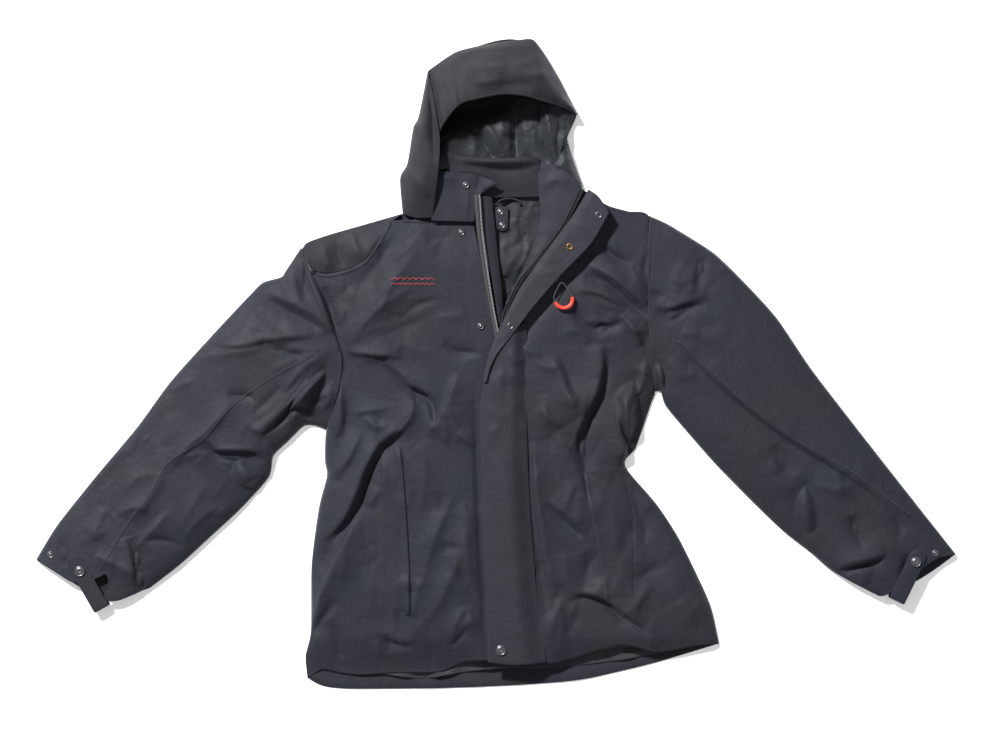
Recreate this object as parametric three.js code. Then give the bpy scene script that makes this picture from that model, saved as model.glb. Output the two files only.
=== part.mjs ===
// A sailing jacket lying on its back on a flat surface, millimetres, +Z up.
// +X is the wearer's left, +Y points from the hem to the hood, and the origin is under the middle.
// Each cloth piece is a closed sheet over a four-sided patch of the plan; the sleeves are flat tubes.
import * as THREE from "three";

// ---- Driving dimensions ----
const WIDTH = 1380; // tip to tip over both cuffs
const LENGTH = 976; // hem to the top of the hood
const SHELL_T = 1.5; // outer fabric with its membrane
const LINING_T = 0.8;
const CLEAR = 0.5; // gap between layers that lie on each other
const SEAM_GAP = 1.3; // gap in plan between panels that are sewn edge to edge
const BODY_ARCH = 19; // rise of the front panels over the side seams
const SIDE_LIFT = 5; // underside of the front panels at the side seams
const LINING_DROP = 3.5; // from the front panel's underside to its lining's top
const ARMHOLE_R_RIGHT = 135;
const ARMHOLE_R_LEFT = 132;
const SLEEVE_H_TOP = 24; // height of the flat tube at the armhole
const SLEEVE_H_MID = 30;
const SLEEVE_H_CUFF = 26;
const HOOD_H = 66; // rise of the hood's peak
const PLACKET_W = 20;
const ZIP_TAPE_W = 13;
const ZIP_TEETH_W = 5; // both rows of teeth, closed
const ZIP_TEETH_T = 2.4;
const SLIDER_L = 15;
const SLIDER_WALL = 1.6;
const PULL_T = 1.2;
const FLAP_T = 2.2; // two layers of shell fabric
const SNAP_CAP_R = 7.8;
const SNAP_CAP_H = 2.6;
const STUD_R = 5.2;
const STUD_H = 2.4;
const TAB_T = 2;
const TAB_W = 26;
const TAB_L = 76;
const CORD_R = 1.3; // cord of the chest pocket's puller
const PULLER_R = 2.6; // rubber tube on that cord
const PULLER_BEND_R = 13;

// ---- Plan ----
const BASE_WIDTH = 1380;
const BASE_LENGTH = 976;
const at = (x, y) => [(x * WIDTH) / BASE_WIDTH, (y * LENGTH) / BASE_LENGTH];
const plan = (points) => points.map(([x, y]) => at(x, y));
const ARMHOLE_RIGHT = at(-274, 40);
const ARMHOLE_LEFT = at(240, 90);
const NECK_Y = at(0, 252)[1]; // fold line between the jacket's body and its hood

// Height of the front panels' underside: an arch over the side seams that runs out at the shoulders.
const SIDE_RIGHT = plan([[-262, 300], [-262, -200], [-279, -316], [-284, -500]]);
const SIDE_LEFT = plan([[250, 300], [250, -40], [204, -140], [204, -160], [273, -261], [336, -430], [336,
  -500]]);
const SHOULDER_Y = at(0, 250)[1];
const SHOULDER_RUN = 90;
const SHOULDER_LEAST = 0.15;

function readAt(line, y) {
  for (let i = 1; i < line.length; i++) {
    const [x0, y0] = line[i - 1];
    const [x1, y1] = line[i];
    if (y >= y1) return x0 + ((x1 - x0) * (y0 - y)) / (y0 - y1);
  }
  return line[line.length - 1][0];
}

function frontUnder(x, y) {
  const right = readAt(SIDE_RIGHT, Math.min(y, SIDE_RIGHT[0][1]));
  const left = readAt(SIDE_LEFT, Math.min(y, SIDE_LEFT[0][1]));
  const u = (2 * x - left - right) / (left - right);
  const arch = Math.sqrt(Math.max(0, 1 - u * u));
  const ramp = Math.min(1, Math.max(SHOULDER_LEAST, (SHOULDER_Y - y) / SHOULDER_RUN));
  return SIDE_LIFT + BODY_ARCH * arch * ramp;
}

const ARCH_TOP = SIDE_LIFT + BODY_ARCH + SHELL_T;
const ZIP_Z = ARCH_TOP + 0.7; // underside of the tapes where the zip is closed
const TAPE_T = 0.9;
const teethGap = TAPE_T + 0.3;
const sliderRoof = ZIP_Z + teethGap + ZIP_TEETH_T + CLEAR;
const pullZ = sliderRoof + SLIDER_WALL + CLEAR;
const FLAP_Z = pullZ + PULL_T + 2 * CLEAR; // underside of the closed storm flap over the zip
const LINING_FLOOR = SHELL_T + LINING_T + 2 * CLEAR; // lowest underside of the front linings
const liningUnder = (x, y) => Math.max(LINING_FLOOR, frontUnder(x, y) - LINING_DROP - LINING_T);
const over = (gap) => (x, y) => frontUnder(x, y) + SHELL_T + gap;
const under = (drop) => (x, y) => frontUnder(x, y) - drop;
const flat = (z) => () => z;

// ---- Shapes ----
const group = new THREE.Group();
group.name = "jacket";

const SHELL = { color: 0x33353d, roughness: 0.62, metalness: 0 };
const SHELL_SIDE = { color: 0x2e313a, roughness: 0.62, metalness: 0 };
const LINING = { color: 0x2b2e34, roughness: 0.8, metalness: 0 };
const TAPE = { color: 0x3d3f42, roughness: 0.75, metalness: 0 };
const TEETH = { color: 0x4a4c4f, roughness: 0.45, metalness: 0 };
const SNAP = { color: 0x3a3936, roughness: 0.35, metalness: 0.9 };
const SIGNAL = { color: 0xe8432f, roughness: 0.5, metalness: 0 };
const THREAD = { color: 0x74242c, roughness: 0.7, metalness: 0 };

function add(name, geometry, look, position = [0, 0, 0]) {
  const mesh = new THREE.Mesh(geometry, new THREE.MeshStandardMaterial(look));
  mesh.name = name;
  mesh.position.set(...position);
  group.add(mesh);
  return mesh;
}

// A closed mesh from points and triangles, turned so that its faces point out.
function closedMesh(points, triangles) {
  let volume = 0;
  const v = (i) => new THREE.Vector3(...points[i]);
  for (const [a, b, c] of triangles) volume += v(a).dot(v(b).cross(v(c)));
  const index = triangles.flatMap(([a, b, c]) => (volume < 0 ? [a, c, b] : [a, b, c]));
  const geometry = new THREE.BufferGeometry();
  geometry.setAttribute("position", new THREE.Float32BufferAttribute(points.flat(), 3));
  geometry.setIndex(index);
  geometry.computeVertexNormals();
  return geometry;
}

// n + 1 points spaced evenly along a line of straight stretches.
function spaced(line, n) {
  const length = [0];
  for (let i = 1; i < line.length; i++)
    length.push(length[i - 1] + Math.hypot(line[i][0] - line[i - 1][0], line[i][1] - line[i - 1][1]));
  return Array.from({ length: n + 1 }, (_, k) => {
    const want = (length[length.length - 1] * k) / n;
    let i = 1;
    while (i < line.length - 1 && length[i] < want) i++;
    const f = (want - length[i - 1]) / (length[i] - length[i - 1]);
    return [0, 1].map((c) => line[i - 1][c] + (line[i][c] - line[i - 1][c]) * f);
  });
}

function arc([cx, cy], r, fromDeg, toDeg, n) {
  return Array.from({ length: n + 1 }, (_, k) => {
    const a = THREE.MathUtils.degToRad(fromDeg + ((toDeg - fromDeg) * k) / n);
    return [cx + r * Math.cos(a), cy + r * Math.sin(a)];
  });
}

// A sheet over the patch between four plan lines: the two sides run from the top line to the bottom line.
function sheet({ top, bottom, left, right, across, along, z, t }) {
  const [T, B] = [spaced(top, across), spaced(bottom, across)];
  const [L, R] = [spaced(left, along), spaced(right, along)];
  const points = [];
  const mix = (a, b, f) => a * (1 - f) + b * f;
  for (let layer = 0; layer < 2; layer++)
    for (let j = 0; j <= along; j++)
      for (let i = 0; i <= across; i++) {
        const [s, q] = [i / across, j / along];
        const [x, y] = [0, 1].map(
          (c) =>
            mix(T[i][c], B[i][c], q) +
            mix(L[j][c], R[j][c], s) -
            mix(mix(T[0][c], T[across][c], s), mix(B[0][c], B[across][c], s), q),
        );
        points.push([x, y, z(x, y, s, q) + layer * t]);
      }
  const row = across + 1;
  const layerSize = row * (along + 1);
  const triangles = [];
  const quad = (a, b, c, d) => triangles.push([a, b, c], [a, c, d]);
  for (let j = 0; j < along; j++)
    for (let i = 0; i < across; i++) {
      const a = j * row + i;
      quad(a, a + 1, a + row + 1, a + row);
      quad(a + layerSize, a + layerSize + row, a + layerSize + row + 1, a + layerSize + 1);
    }
  const wall = (a, b) => quad(b, a, a + layerSize, b + layerSize);
  for (let i = 0; i < across; i++) {
    wall(i, i + 1);
    wall(along * row + i + 1, along * row + i);
  }
  for (let j = 0; j < along; j++) {
    wall((j + 1) * row, j * row);
    wall(j * row + across, (j + 1) * row + across);
  }
  return closedMesh(points, triangles);
}

// A strip of one width whose centre line is given.
function strip(line, width, z, t, along, across = 1) {
  const side = (sign) =>
    line.map((p, i) => {
      const [a, b] = [line[Math.max(0, i - 1)], line[Math.min(line.length - 1, i + 1)]];
      const d = Math.hypot(b[0] - a[0], b[1] - a[1]);
      return [p[0] - (sign * width * (b[1] - a[1])) / (2 * d), p[1] +
        (sign * width * (b[0] - a[0])) / (2 * d)];
    });
  const [left, right] = [side(-1), side(1)];
  return sheet({
    left, right, top: [left[0], right[0]], bottom: [left[left.length - 1], right[right.length - 1]],
    across, along, z, t,
  });
}

function shifted(line, dx, dy = 0) {
  return line.map(([x, y]) => [x + dx, y + dy]);
}

// A domed disc: a snap's cap, socket or stud, standing on z = 0.
function button(r, h, boss = 0) {
  const profile = [
    [0, 0], [r, 0], [r, h * 0.6], [r * 0.7, h * 0.95],
    ...(boss ? [[r * 0.45, h * 0.8], [r * 0.42, h + boss], [0, h + boss]] : [[0, h]]),
  ].map(([x, y]) => new THREE.Vector2(x, y));
  return new THREE.LatheGeometry(profile, 12).rotateX(Math.PI / 2);
}

// A round rod along points, with a step for every stretch of the path.
function rod(points, r, steps, sides = 8) {
  const path = new THREE.CatmullRomCurve3(points.map((p) => new THREE.Vector3(...p)));
  const section = new THREE.Shape().setFromPoints(
    arc([0, 0], r, 0, 360, sides).slice(0, -1).map(([x, y]) => new THREE.Vector2(x, y)),
  );
  return new THREE.ExtrudeGeometry(section, { steps, extrudePath: path, curveSegments: sides });
}

// An upside-down U over a zip's teeth, length along X, with its roof's underside at z = 0.
function saddle(length, inner, depth, wall) {
  const w = inner / 2;
  const u = new THREE.Shape().setFromPoints(
    [[-w - wall, -depth], [-w, -depth], [-w, 0], [w, 0], [w, -depth], [w + wall, -depth], [w + wall,
      wall], [-w - wall, wall]]
      .map(([x, y]) => new THREE.Vector2(x, y)),
  );
  const body = new THREE.ExtrudeGeometry(u, { depth: length, bevelEnabled: false });
  return body.translate(0, 0, -length / 2).rotateX(Math.PI / 2).rotateZ(Math.PI / 2);
}

// ---- Lines of the plan ----
// The front edges meet below the slider and part above it; the left one is turned out over the chest.
const ZIP_FOOT = at(37, -436);
const ZIP_SPLIT = at(3, 40);
const zipAt = (f) => [0, 1].map((c) => ZIP_SPLIT[c] + (ZIP_FOOT[c] - ZIP_SPLIT[c]) * f);
const edgeRight = [...plan([[-31, 219], [-16, 120]]), [ZIP_SPLIT[0] - 3, ZIP_SPLIT[1]], [ZIP_FOOT[0] - 3,
  at(0, -444)[1]]];
const edgeLeft = [
  ...plan([[131, 250], [97, 207], [61, 160], [35, 129], [16, 87]]),
  [ZIP_SPLIT[0] + 3, ZIP_SPLIT[1]],
  [ZIP_FOOT[0] + 3, at(0, -444)[1]],
];
const HEM_BACK = plan([[-284, -472], [-261, -484], [-200, -488], [-84, -487], [93, -478], [250, -448],
  [333, -420]]);
const HEM_RIGHT = [...plan([[-280, -468], [-234, -458], [-84, -458]]), edgeRight[edgeRight.length - 1]];
const HEM_LEFT = [edgeLeft[edgeLeft.length - 1], ...plan([[144, -430], [243, -428], [328, -416]])];
const ARC_STEPS = 26;
const YOKE_DEG = 58; // where the right yoke's seam meets the armhole
const armholeRight = (gap, from = YOKE_DEG, to = -73) => arc(ARMHOLE_RIGHT, ARMHOLE_R_RIGHT + gap, from,
  to, ARC_STEPS);
const armholeLeft = (gap, from = 104, to = 250) => arc(ARMHOLE_LEFT, ARMHOLE_R_LEFT + gap, from, to,
  ARC_STEPS);
const sideRight = plan([[-256, -122], [-258, -190], [-267, -212], [-279, -316], [-280, -398]]);
const sideLeft = plan([[200, -60], [206, -90], [204, -124], [192, -150], [236, -207], [271, -261], [316,
  -356]]);

// ---- Body ----
const yokeLineRight = plan([[-150, 220], [-160, 212]]);
add("back_panel", sheet({
  top: plan([[-142, 226], [-60, 236], [60, 236], [160, 238]]),
  bottom: HEM_BACK,
  left: [...plan([[-142, 226], [-250, 194]]), ...armholeRight(SEAM_GAP, 100), ...sideRight, HEM_BACK[0]],
  right: [...plan([[160, 238], [205, 229]]), ...armholeLeft(SEAM_GAP), ...sideLeft, HEM_BACK[6]],
  across: 6, along: 30, z: flat(0), t: SHELL_T,
}), SHELL);
add("lining_back", sheet({
  top: plan([[-130, 218], [-60, 228], [60, 228], [150, 230]]),
  bottom: shifted(HEM_BACK, 0, 14),
  left: [...plan([[-130, 218], [-230, 192]]), ...armholeRight(4, 92), ...shifted(sideRight, 5),
    shifted(HEM_BACK, 8, 14)[0]],
  right: [...plan([[150, 230], [190, 224]]), ...armholeLeft(4, 112), ...shifted(sideLeft, -5),
    shifted(HEM_BACK, -8, 14)[6]],
  across: 5, along: 26, z: flat(SHELL_T + CLEAR), t: LINING_T,
}), LINING);
const frontRight = {
  top: [yokeLineRight[0], at(-90, 219), edgeRight[0]],
  bottom: HEM_RIGHT,
  left: [...yokeLineRight, ...armholeRight(SEAM_GAP), ...sideRight, HEM_RIGHT[0]],
  right: edgeRight,
};
const frontLeft = {
  top: [edgeLeft[0], at(150, 243), at(164, 239)],
  bottom: HEM_LEFT,
  left: edgeLeft,
  right: [...plan([[164, 239], [203, 229]]), ...armholeLeft(SEAM_GAP), ...sideLeft, HEM_LEFT[3]],
};
add("front_panel_right", sheet({ ...frontRight, across: 7, along: 30, z: under(0), t: SHELL_T }), SHELL);
add("front_panel_left", sheet({ ...frontLeft, across: 7, along: 30, z: under(0), t: SHELL_T }), SHELL);
add("yoke_right", sheet({
  top: plan([[-156, 226], [-250, 194], [-285, 178]]),
  bottom: [at(-165, 215), ...arc(ARMHOLE_RIGHT, ARMHOLE_R_RIGHT + SEAM_GAP + 2, YOKE_DEG + 4, 95, 5)],
  left: plan([[-156, 226], [-165, 215]]),
  right: [at(-285, 178), arc(ARMHOLE_RIGHT, ARMHOLE_R_RIGHT + SEAM_GAP + 2, 95, 95, 1)[0]],
  across: 10, along: 2, z: under(0), t: SHELL_T,
}), SHELL_SIDE);

// Linings stop short of the front edges, where the placket and the zip tapes lie.
add("lining_front_right", sheet({
  top: [at(-140, 212), at(-60, 211)],
  bottom: [...shifted(HEM_RIGHT, 5, 16).slice(0, 3), [ZIP_FOOT[0] - PLACKET_W - 8, at(0, -428)[1]]],
  left: [...plan([[-140, 212], [-150, 200]]), ...armholeRight(5, 50), ...shifted(sideRight, 6),
    shifted(HEM_RIGHT, 6, 16)[0]],
  right: [at(-60, 211), [ZIP_SPLIT[0] - PLACKET_W - 8, ZIP_SPLIT[1]], [ZIP_FOOT[0] - PLACKET_W - 8, at(0,
    -428)[1]]],
  across: 4, along: 24, z: liningUnder, t: LINING_T,
}), LINING);
add("lining_front_left", sheet({
  top: plan([[140, 236], [160, 232]]),
  bottom: [[ZIP_FOOT[0] + PLACKET_W + 8, at(0, -428)[1]], ...shifted(HEM_LEFT, -6, 14).slice(1)],
  left: [at(140, 236), at(90, 160), [ZIP_SPLIT[0] + PLACKET_W + 8, ZIP_SPLIT[1]], [ZIP_FOOT[0] +
    PLACKET_W + 8, at(0, -428)[1]]],
  right: [at(160, 232), ...armholeLeft(5, 118), ...shifted(sideLeft, -6), shifted(HEM_LEFT, -6, 14)[3]],
  across: 4, along: 24, z: liningUnder, t: LINING_T,
}), LINING);

// ---- Sleeves: flat tubes whose upper end is a round, so that they can swing in the armhole ----
const sleeves = {
  right: {
    centre: ARMHOLE_RIGHT, r: ARMHOLE_R_RIGHT, from: 98, to: -84,
    upper: plan([[-322, 134], [-370, 104], [-489, -26], [-538, -93], [-658, -240], [-690, -294]]),
    lower: plan([[-290, -97], [-342, -168], [-428, -255], [-522, -334]]),
    mouth: at(-14, -26),
  },
  left: {
    centre: ARMHOLE_LEFT, r: ARMHOLE_R_LEFT, from: 92, to: 268,
    upper: plan([[326, 166], [420, 68], [470, -6], [690, -284]]),
    lower: plan([[250, -50], [328, -148], [429, -248], [506, -305], [548, -322]]),
    mouth: at(10, -26),
  },
};
const SLEEVE_RINGS = 15;
const BULGE_RINGS = 4; // rings over which the round upper end becomes a straight cross-section
const HALF = 8; // steps over the top of a ring, and as many underneath

function sleeveTube({ centre, r, from, to, upper, lower, mouth }, inset, wall, firstRing, lastRing) {
  const round = arc(centre, r - inset, from, to, HALF * 2);
  const U = spaced([round[0], ...upper], SLEEVE_RINGS);
  const L = spaced([round[HALF * 2], ...lower], SLEEVE_RINGS);
  const ring = (k, shrink) => {
    const f = k / SLEEVE_RINGS;
    const height = f < 0.3
      ? SLEEVE_H_TOP + ((SLEEVE_H_MID - SLEEVE_H_TOP) * f) / 0.3
      : SLEEVE_H_MID + ((SLEEVE_H_CUFF - SLEEVE_H_MID) * (f - 0.3)) / 0.7;
    const width = Math.hypot(U[k][0] - L[k][0], U[k][1] - L[k][1]);
    const bulge = Math.max(0, 1 - k / BULGE_RINGS);
    const flare = Math.max(0, (f - 0.85) / 0.15);
    return Array.from({ length: HALF * 2 }, (_, j) => {
      const a = (Math.PI * j) / HALF;
      const s0 = (1 - Math.cos(a)) / 2;
      const edge = shrink / width;
      const s = edge + s0 * (1 - 2 * edge);
      const at0 = s * HALF * 2;
      const i = Math.min(HALF * 2 - 1, Math.floor(at0));
      const [x, y] = [0, 1].map((c) => {
        const onRound = round[i][c] + (round[i + 1][c] - round[i][c]) * (at0 - i);
        const chord0 = round[0][c] + (round[HALF * 2][c] - round[0][c]) * s;
        const straight = U[k][c] + (L[k][c] - U[k][c]) * s;
        return straight + (onRound - chord0) * bulge + mouth[c] * 4 * s * (1 - s) * flare;
      });
      const rise = Math.sign(Math.sin(a)) * Math.abs(Math.sin(a)) ** 0.75;
      return [x, y, height / 2 + (height / 2 - shrink) * (Math.abs(Math.sin(a)) < 1e-9 ? 0 : rise)];
    });
  };
  const points = [];
  const count = lastRing - firstRing + 1;
  for (const shrink of [inset, inset + wall])
    for (let k = firstRing; k <= lastRing; k++) points.push(...ring(k, shrink));
  const around = HALF * 2;
  const triangles = [];
  const quad = (a, b, c, d) => triangles.push([a, b, c], [a, c, d]);
  const id = (side, k, j) => (side * count + k) * around + (j % around);
  for (let j = 0; j < around; j++) {
    for (let k = 0; k < count - 1; k++) {
      quad(id(0, k, j), id(0, k, j + 1), id(0, k + 1, j + 1), id(0, k + 1, j));
      quad(id(1, k, j + 1), id(1, k, j), id(1, k + 1, j), id(1, k + 1, j + 1));
    }
    quad(id(0, 0, j + 1), id(0, 0, j), id(1, 0, j), id(1, 0, j + 1));
    quad(id(0, count - 1, j), id(0, count - 1, j + 1), id(1, count - 1, j + 1), id(1, count - 1, j));
  }
  return closedMesh(points, triangles);
}

for (const [side, plan0] of Object.entries(sleeves)) {
  add("sleeve_" + side, sleeveTube(plan0, 0, SHELL_T, 0, SLEEVE_RINGS), SHELL);
  add("sleeve_lining_" + side, sleeveTube(plan0, SHELL_T + CLEAR + 0.3, LINING_T, BULGE_RINGS,
    SLEEVE_RINGS - 2), LINING);
}

// ---- Cuff tabs: a strap that comes round the cuff's edge and snaps down on the sleeve ----
const cuffTabs = {
  right: { root: at(-592, -362), tip: at(-632, -292), stud: at(-668, -284) },
  left: { root: at(598, -350), tip: at(630, -284), stud: at(655, -281) },
};
const TAB_Z = SLEEVE_H_CUFF + 1.6;
for (const [side, { root, tip, stud }] of Object.entries(cuffTabs)) {
  const d = Math.hypot(tip[0] - root[0], tip[1] - root[1]);
  const dir = [(tip[0] - root[0]) / d, (tip[1] - root[1]) / d];
  const on = (f) => [root[0] + dir[0] * TAB_L * f, root[1] + dir[1] * TAB_L * f];
  add("cuff_tab_" + side, strip([on(0), on(0.5), on(1)], TAB_W, flat(TAB_Z), TAB_T, 6, 2), SHELL);
  const cap = on(0.82);
  add("cuff_snap_" + side, button(SNAP_CAP_R, SNAP_CAP_H), SNAP, [...cap, TAB_Z + TAB_T + 0.3]);
  add("cuff_stud_" + side, button(STUD_R, STUD_H), SNAP, [...stud, SLEEVE_H_CUFF - 1.5]);
}

// ---- Hood: folds about the neck line; its pieces start at that line or clear of the collar halves ----
const HOOD_FOOT = at(0, 304)[1];
const hoodOutlineRight = plan([[-140, 254], [-146, 280], [-135, 302], [-126, 356], [-118, 372], [-106,
  438]]);
const hoodTop = plan([[-104, 442], [-60, 470], [0, 484.5], [57, 489.9], [122, 380]]);
const brim = plan([[-82, 346], [-54, 386], [-21, 397], [10, 401], [63, 394], [110, 374]]);
const HOOD_EDGE_Z = 8;
const BRIM_W = 12;
const BRIM_T = 2.4; // the stiffener under the crown's front edge
const BRIM_GAP = 2;
const dome = (s, q, low, high) => low +
  (high - low) * Math.sin((Math.PI * q) / 2) * Math.sin(Math.PI * s) ** 0.5;
add("hood_back", sheet({
  top: plan([[-104, 440], [-60, 467], [0, 481], [54, 484], [86, 430]]),
  bottom: [[at(-96, 0)[0], HOOD_FOOT], [at(104, 0)[0], HOOD_FOOT]],
  left: [...plan([[-104, 440], [-116, 372], [-110, 330]]), [at(-96, 0)[0], HOOD_FOOT]],
  right: [...plan([[86, 430], [118, 374], [103, 340]]), [at(104, 0)[0], HOOD_FOOT]],
  across: 8, along: 8, z: flat(0), t: SHELL_T,
}), SHELL);
add("hood_lining", sheet({
  top: plan([[-94, 432], [-55, 458], [0, 471], [48, 474], [80, 424]]),
  bottom: [[at(-80, 0)[0], HOOD_FOOT + 4], [at(76, 0)[0], HOOD_FOOT + 4]],
  left: [...plan([[-94, 432], [-98, 372], [-92, 330]]), [at(-80, 0)[0], HOOD_FOOT + 4]],
  right: [...plan([[80, 424], [104, 374], [90, 340]]), [at(76, 0)[0], HOOD_FOOT + 4]],
  across: 6, along: 6, z: flat(SHELL_T + CLEAR), t: LINING_T,
}), LINING);
add("hood_crown", sheet({
  top: hoodTop,
  bottom: shifted(brim, 0, BRIM_W + BRIM_GAP),
  left: plan([[-104, 442], [-82, 359]]),
  right: [hoodTop[4], [at(110, 0)[0], at(0, 374)[1] + BRIM_W + BRIM_GAP]],
  across: 12, along: 6, z: (x, y, s, q) => dome(s, q, HOOD_EDGE_Z, HOOD_H), t: SHELL_T,
}), SHELL);
add("hood_brim", sheet({
  top: shifted(brim, 0, BRIM_W),
  bottom: brim,
  left: [shifted(brim, 0, BRIM_W)[0], brim[0]],
  right: [shifted(brim, 0, BRIM_W)[5], brim[5]],
  across: 14, along: 2, z: (x, y, s) => dome(s, 1, HOOD_EDGE_Z, HOOD_H) - BRIM_T - 4 * CLEAR, t: BRIM_T,
}), SHELL);
add("hood_side_right", sheet({
  top: plan([[-107, 436], [-98, 410]]),
  bottom: plan([[-140, 255], [-94, 255]]),
  left: hoodOutlineRight.slice().reverse(),
  right: plan([[-98, 410], [-88, 350], [-88, 310], [-94, 255]]),
  across: 3, along: 12, z: (x, y, s, q) => 2.6 + (s * 34 + 2) * Math.min(1, Math.max(0.05,
    (y - NECK_Y - 3) / 60)), t: SHELL_T,
}), SHELL_SIDE);
add("hood_side_left", sheet({
  top: plan([[98, 366], [119, 368]]),
  bottom: [[at(80, 0)[0], HOOD_FOOT], [at(108, 0)[0], HOOD_FOOT]],
  left: [...plan([[98, 366], [88, 340]]), [at(80, 0)[0], HOOD_FOOT]],
  right: [...plan([[119, 368], [106, 342]]), [at(108, 0)[0], HOOD_FOOT]],
  across: 3, along: 8, z: (x, y, s) => 3.4 + (1 - s) * 30, t: SHELL_T,
}), SHELL_SIDE);

// ---- Collar: the back stands with the hood, the halves stay on the fronts ----
add("collar_back", sheet({
  top: [[at(-58, 0)[0], HOOD_FOOT - 2], [at(61, 0)[0], HOOD_FOOT - 2]],
  bottom: [[at(-22, 0)[0], NECK_Y + 2], [at(60, 0)[0], NECK_Y + 2]],
  left: [[at(-22, 0)[0], HOOD_FOOT - 2], [at(-22, 0)[0], NECK_Y + 2]],
  right: [[at(61, 0)[0], HOOD_FOOT - 2], [at(60, 0)[0], NECK_Y + 2]],
  across: 6, along: 4, z: (x, y) => 2 + Math.max(0, y - NECK_Y) * 0.1, t: 3,
}), LINING);
const COLLAR_T = 3.2;
add("collar_right", sheet({
  top: plan([[-84, 291], [-30, 279]]),
  bottom: plan([[-84, 224], [-40, 224]]),
  left: plan([[-84, 291], [-84, 224]]),
  right: plan([[-30, 279], [-40, 224]]),
  across: 4, along: 6, z: (x, y) => 14 + Math.max(0, y - at(0, 224)[1]) * 0.12, t: COLLAR_T,
}), SHELL);
add("collar_left", sheet({
  top: plan([[66, 296], [112, 290]]),
  bottom: plan([[88, 226], [118, 262]]),
  left: plan([[66, 296], [68, 240], [88, 226]]),
  right: plan([[112, 290], [118, 262]]),
  across: 4, along: 6, z: flat(19), t: COLLAR_T,
}), LINING);
add("facing_left", sheet({
  top: plan([[68, 234], [84, 220]]),
  bottom: plan([[6, 92], [11, 88]]),
  left: plan([[68, 234], [50, 166], [29, 118], [6, 92]]),
  right: plan([[84, 220], [52, 160], [27, 124], [11, 88]]),
  across: 2, along: 12, z: under(1.1), t: LINING_T,
}), LINING);

// ---- Front zip ----
const zipZ = (gap) => (x, y) => (y > ZIP_SPLIT[1] + 20 ? Math.min(ZIP_Z, over(ZIP_RIDE)(x, y)) : ZIP_Z) +
  gap;
const ZIP_RIDE = 3; // the parted tapes stand this far off the fronts near the neck
const halfTape = ZIP_TAPE_W / 2 + 0.6;
const footRight = zipAt(1);
add("zip_tape_right", strip(
  [...plan([[-39, 219], [-24, 120]]), [ZIP_SPLIT[0] - halfTape, ZIP_SPLIT[1]], [footRight[0] - halfTape,
    footRight[1]]],
  ZIP_TAPE_W, zipZ(0), TAPE_T, 18), TAPE);
add("zip_tape_left", strip(
  [...plan([[132, 240], [104, 200], [68, 153], [42, 122], [22, 82]]),
    [ZIP_SPLIT[0] + halfTape, ZIP_SPLIT[1]], [footRight[0] + halfTape, footRight[1]]],
  ZIP_TAPE_W, zipZ(0), TAPE_T, 22), TAPE);
const SLIDER_AT = 0.03; // share of the closed run that the slider has already taken
const chain = [zipAt(SLIDER_AT), zipAt(0.985)];
add("zip_chain_closed", strip(chain, ZIP_TEETH_W, flat(ZIP_Z + teethGap), ZIP_TEETH_T, 8), TEETH);
add("zip_teeth_right", strip(
  plan([[-32, 217], [-17, 120], [-2, 52]]), ZIP_TEETH_W / 2, zipZ(teethGap), ZIP_TEETH_T, 14), TEETH);
add("zip_teeth_left", strip(
  plan([[112, 216], [98, 197], [61, 150], [36, 120], [16, 80], [8, 54]]),
  ZIP_TEETH_W / 2, zipZ(teethGap), ZIP_TEETH_T, 18), TEETH);
const zipDir = Math.atan2(ZIP_FOOT[1] - ZIP_SPLIT[1], ZIP_FOOT[0] - ZIP_SPLIT[0]);
const sliderPlace = zipAt(SLIDER_AT + 0.018);
const slider = add("zip_slider",
  saddle(SLIDER_L, ZIP_TEETH_W + 2 * CLEAR, ZIP_TEETH_T, SLIDER_WALL), SNAP, [...sliderPlace, sliderRoof]);
slider.rotation.z = zipDir;
const pull = add("zip_pull",
  new THREE.BoxGeometry(26, 7, PULL_T), SNAP, [...zipAt(SLIDER_AT + 0.06), pullZ + PULL_T / 2]);
pull.rotation.z = zipDir;
const box = add("zip_box", new THREE.BoxGeometry(9, 12, 4), TEETH, [...zipAt(1.0), ZIP_Z + teethGap + 2.3]);
box.rotation.z = zipDir;
add("inner_placket", strip(
  [...plan([[-15, 244], [-3, 120]]), [ZIP_SPLIT[0], ZIP_SPLIT[1] - 10], [ZIP_FOOT[0], ZIP_FOOT[1]]],
  PLACKET_W, under(2.6), 1.1, 16, 2), LINING);

// ---- Storm flap: closed below, its upper part folded back over the left chest ----
const FLAP_HINGE_X = at(73, 0)[0];
const FLAP_FREE = plan([[-24, -54], [-22, -200], [-15, -350], [-14, -444]]);
const FLAP_RISE = 27; // width over which the flap climbs from its seam to lie over the zip
const flapRun = (x) => {
  const f = Math.min(1, Math.max(0, (FLAP_HINGE_X - x) / FLAP_RISE));
  return ARCH_TOP + 1 + (FLAP_Z - ARCH_TOP - 1) * f;
};
add("storm_flap_lower", sheet({
  top: [FLAP_FREE[0], [FLAP_HINGE_X, at(0, -54)[1]]],
  bottom: [FLAP_FREE[3], [FLAP_HINGE_X, at(0, -440)[1]]],
  left: FLAP_FREE,
  right: [[FLAP_HINGE_X, at(0, -54)[1]], [FLAP_HINGE_X, at(0, -440)[1]]],
  across: 4, along: 10, z: flapRun, t: FLAP_T,
}), SHELL);
add("storm_flap_upper", sheet({
  top: plan([[136, 236], [165, 226]]),
  bottom: plan([[-12, -46], [70, -46]]),
  left: plan([[136, 236], [104, 199], [68, 152], [42, 122], [22, 80], [6, 40], [-12, -46]]),
  right: plan([[165, 226], [136, 180], [94, 129], [62, 94], [52, 40], [70, -46]]),
  across: 3, along: 16, z: (x, y) => Math.max(FLAP_Z - 0.5, frontUnder(x, y)), t: FLAP_T,
}), SHELL);
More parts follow.
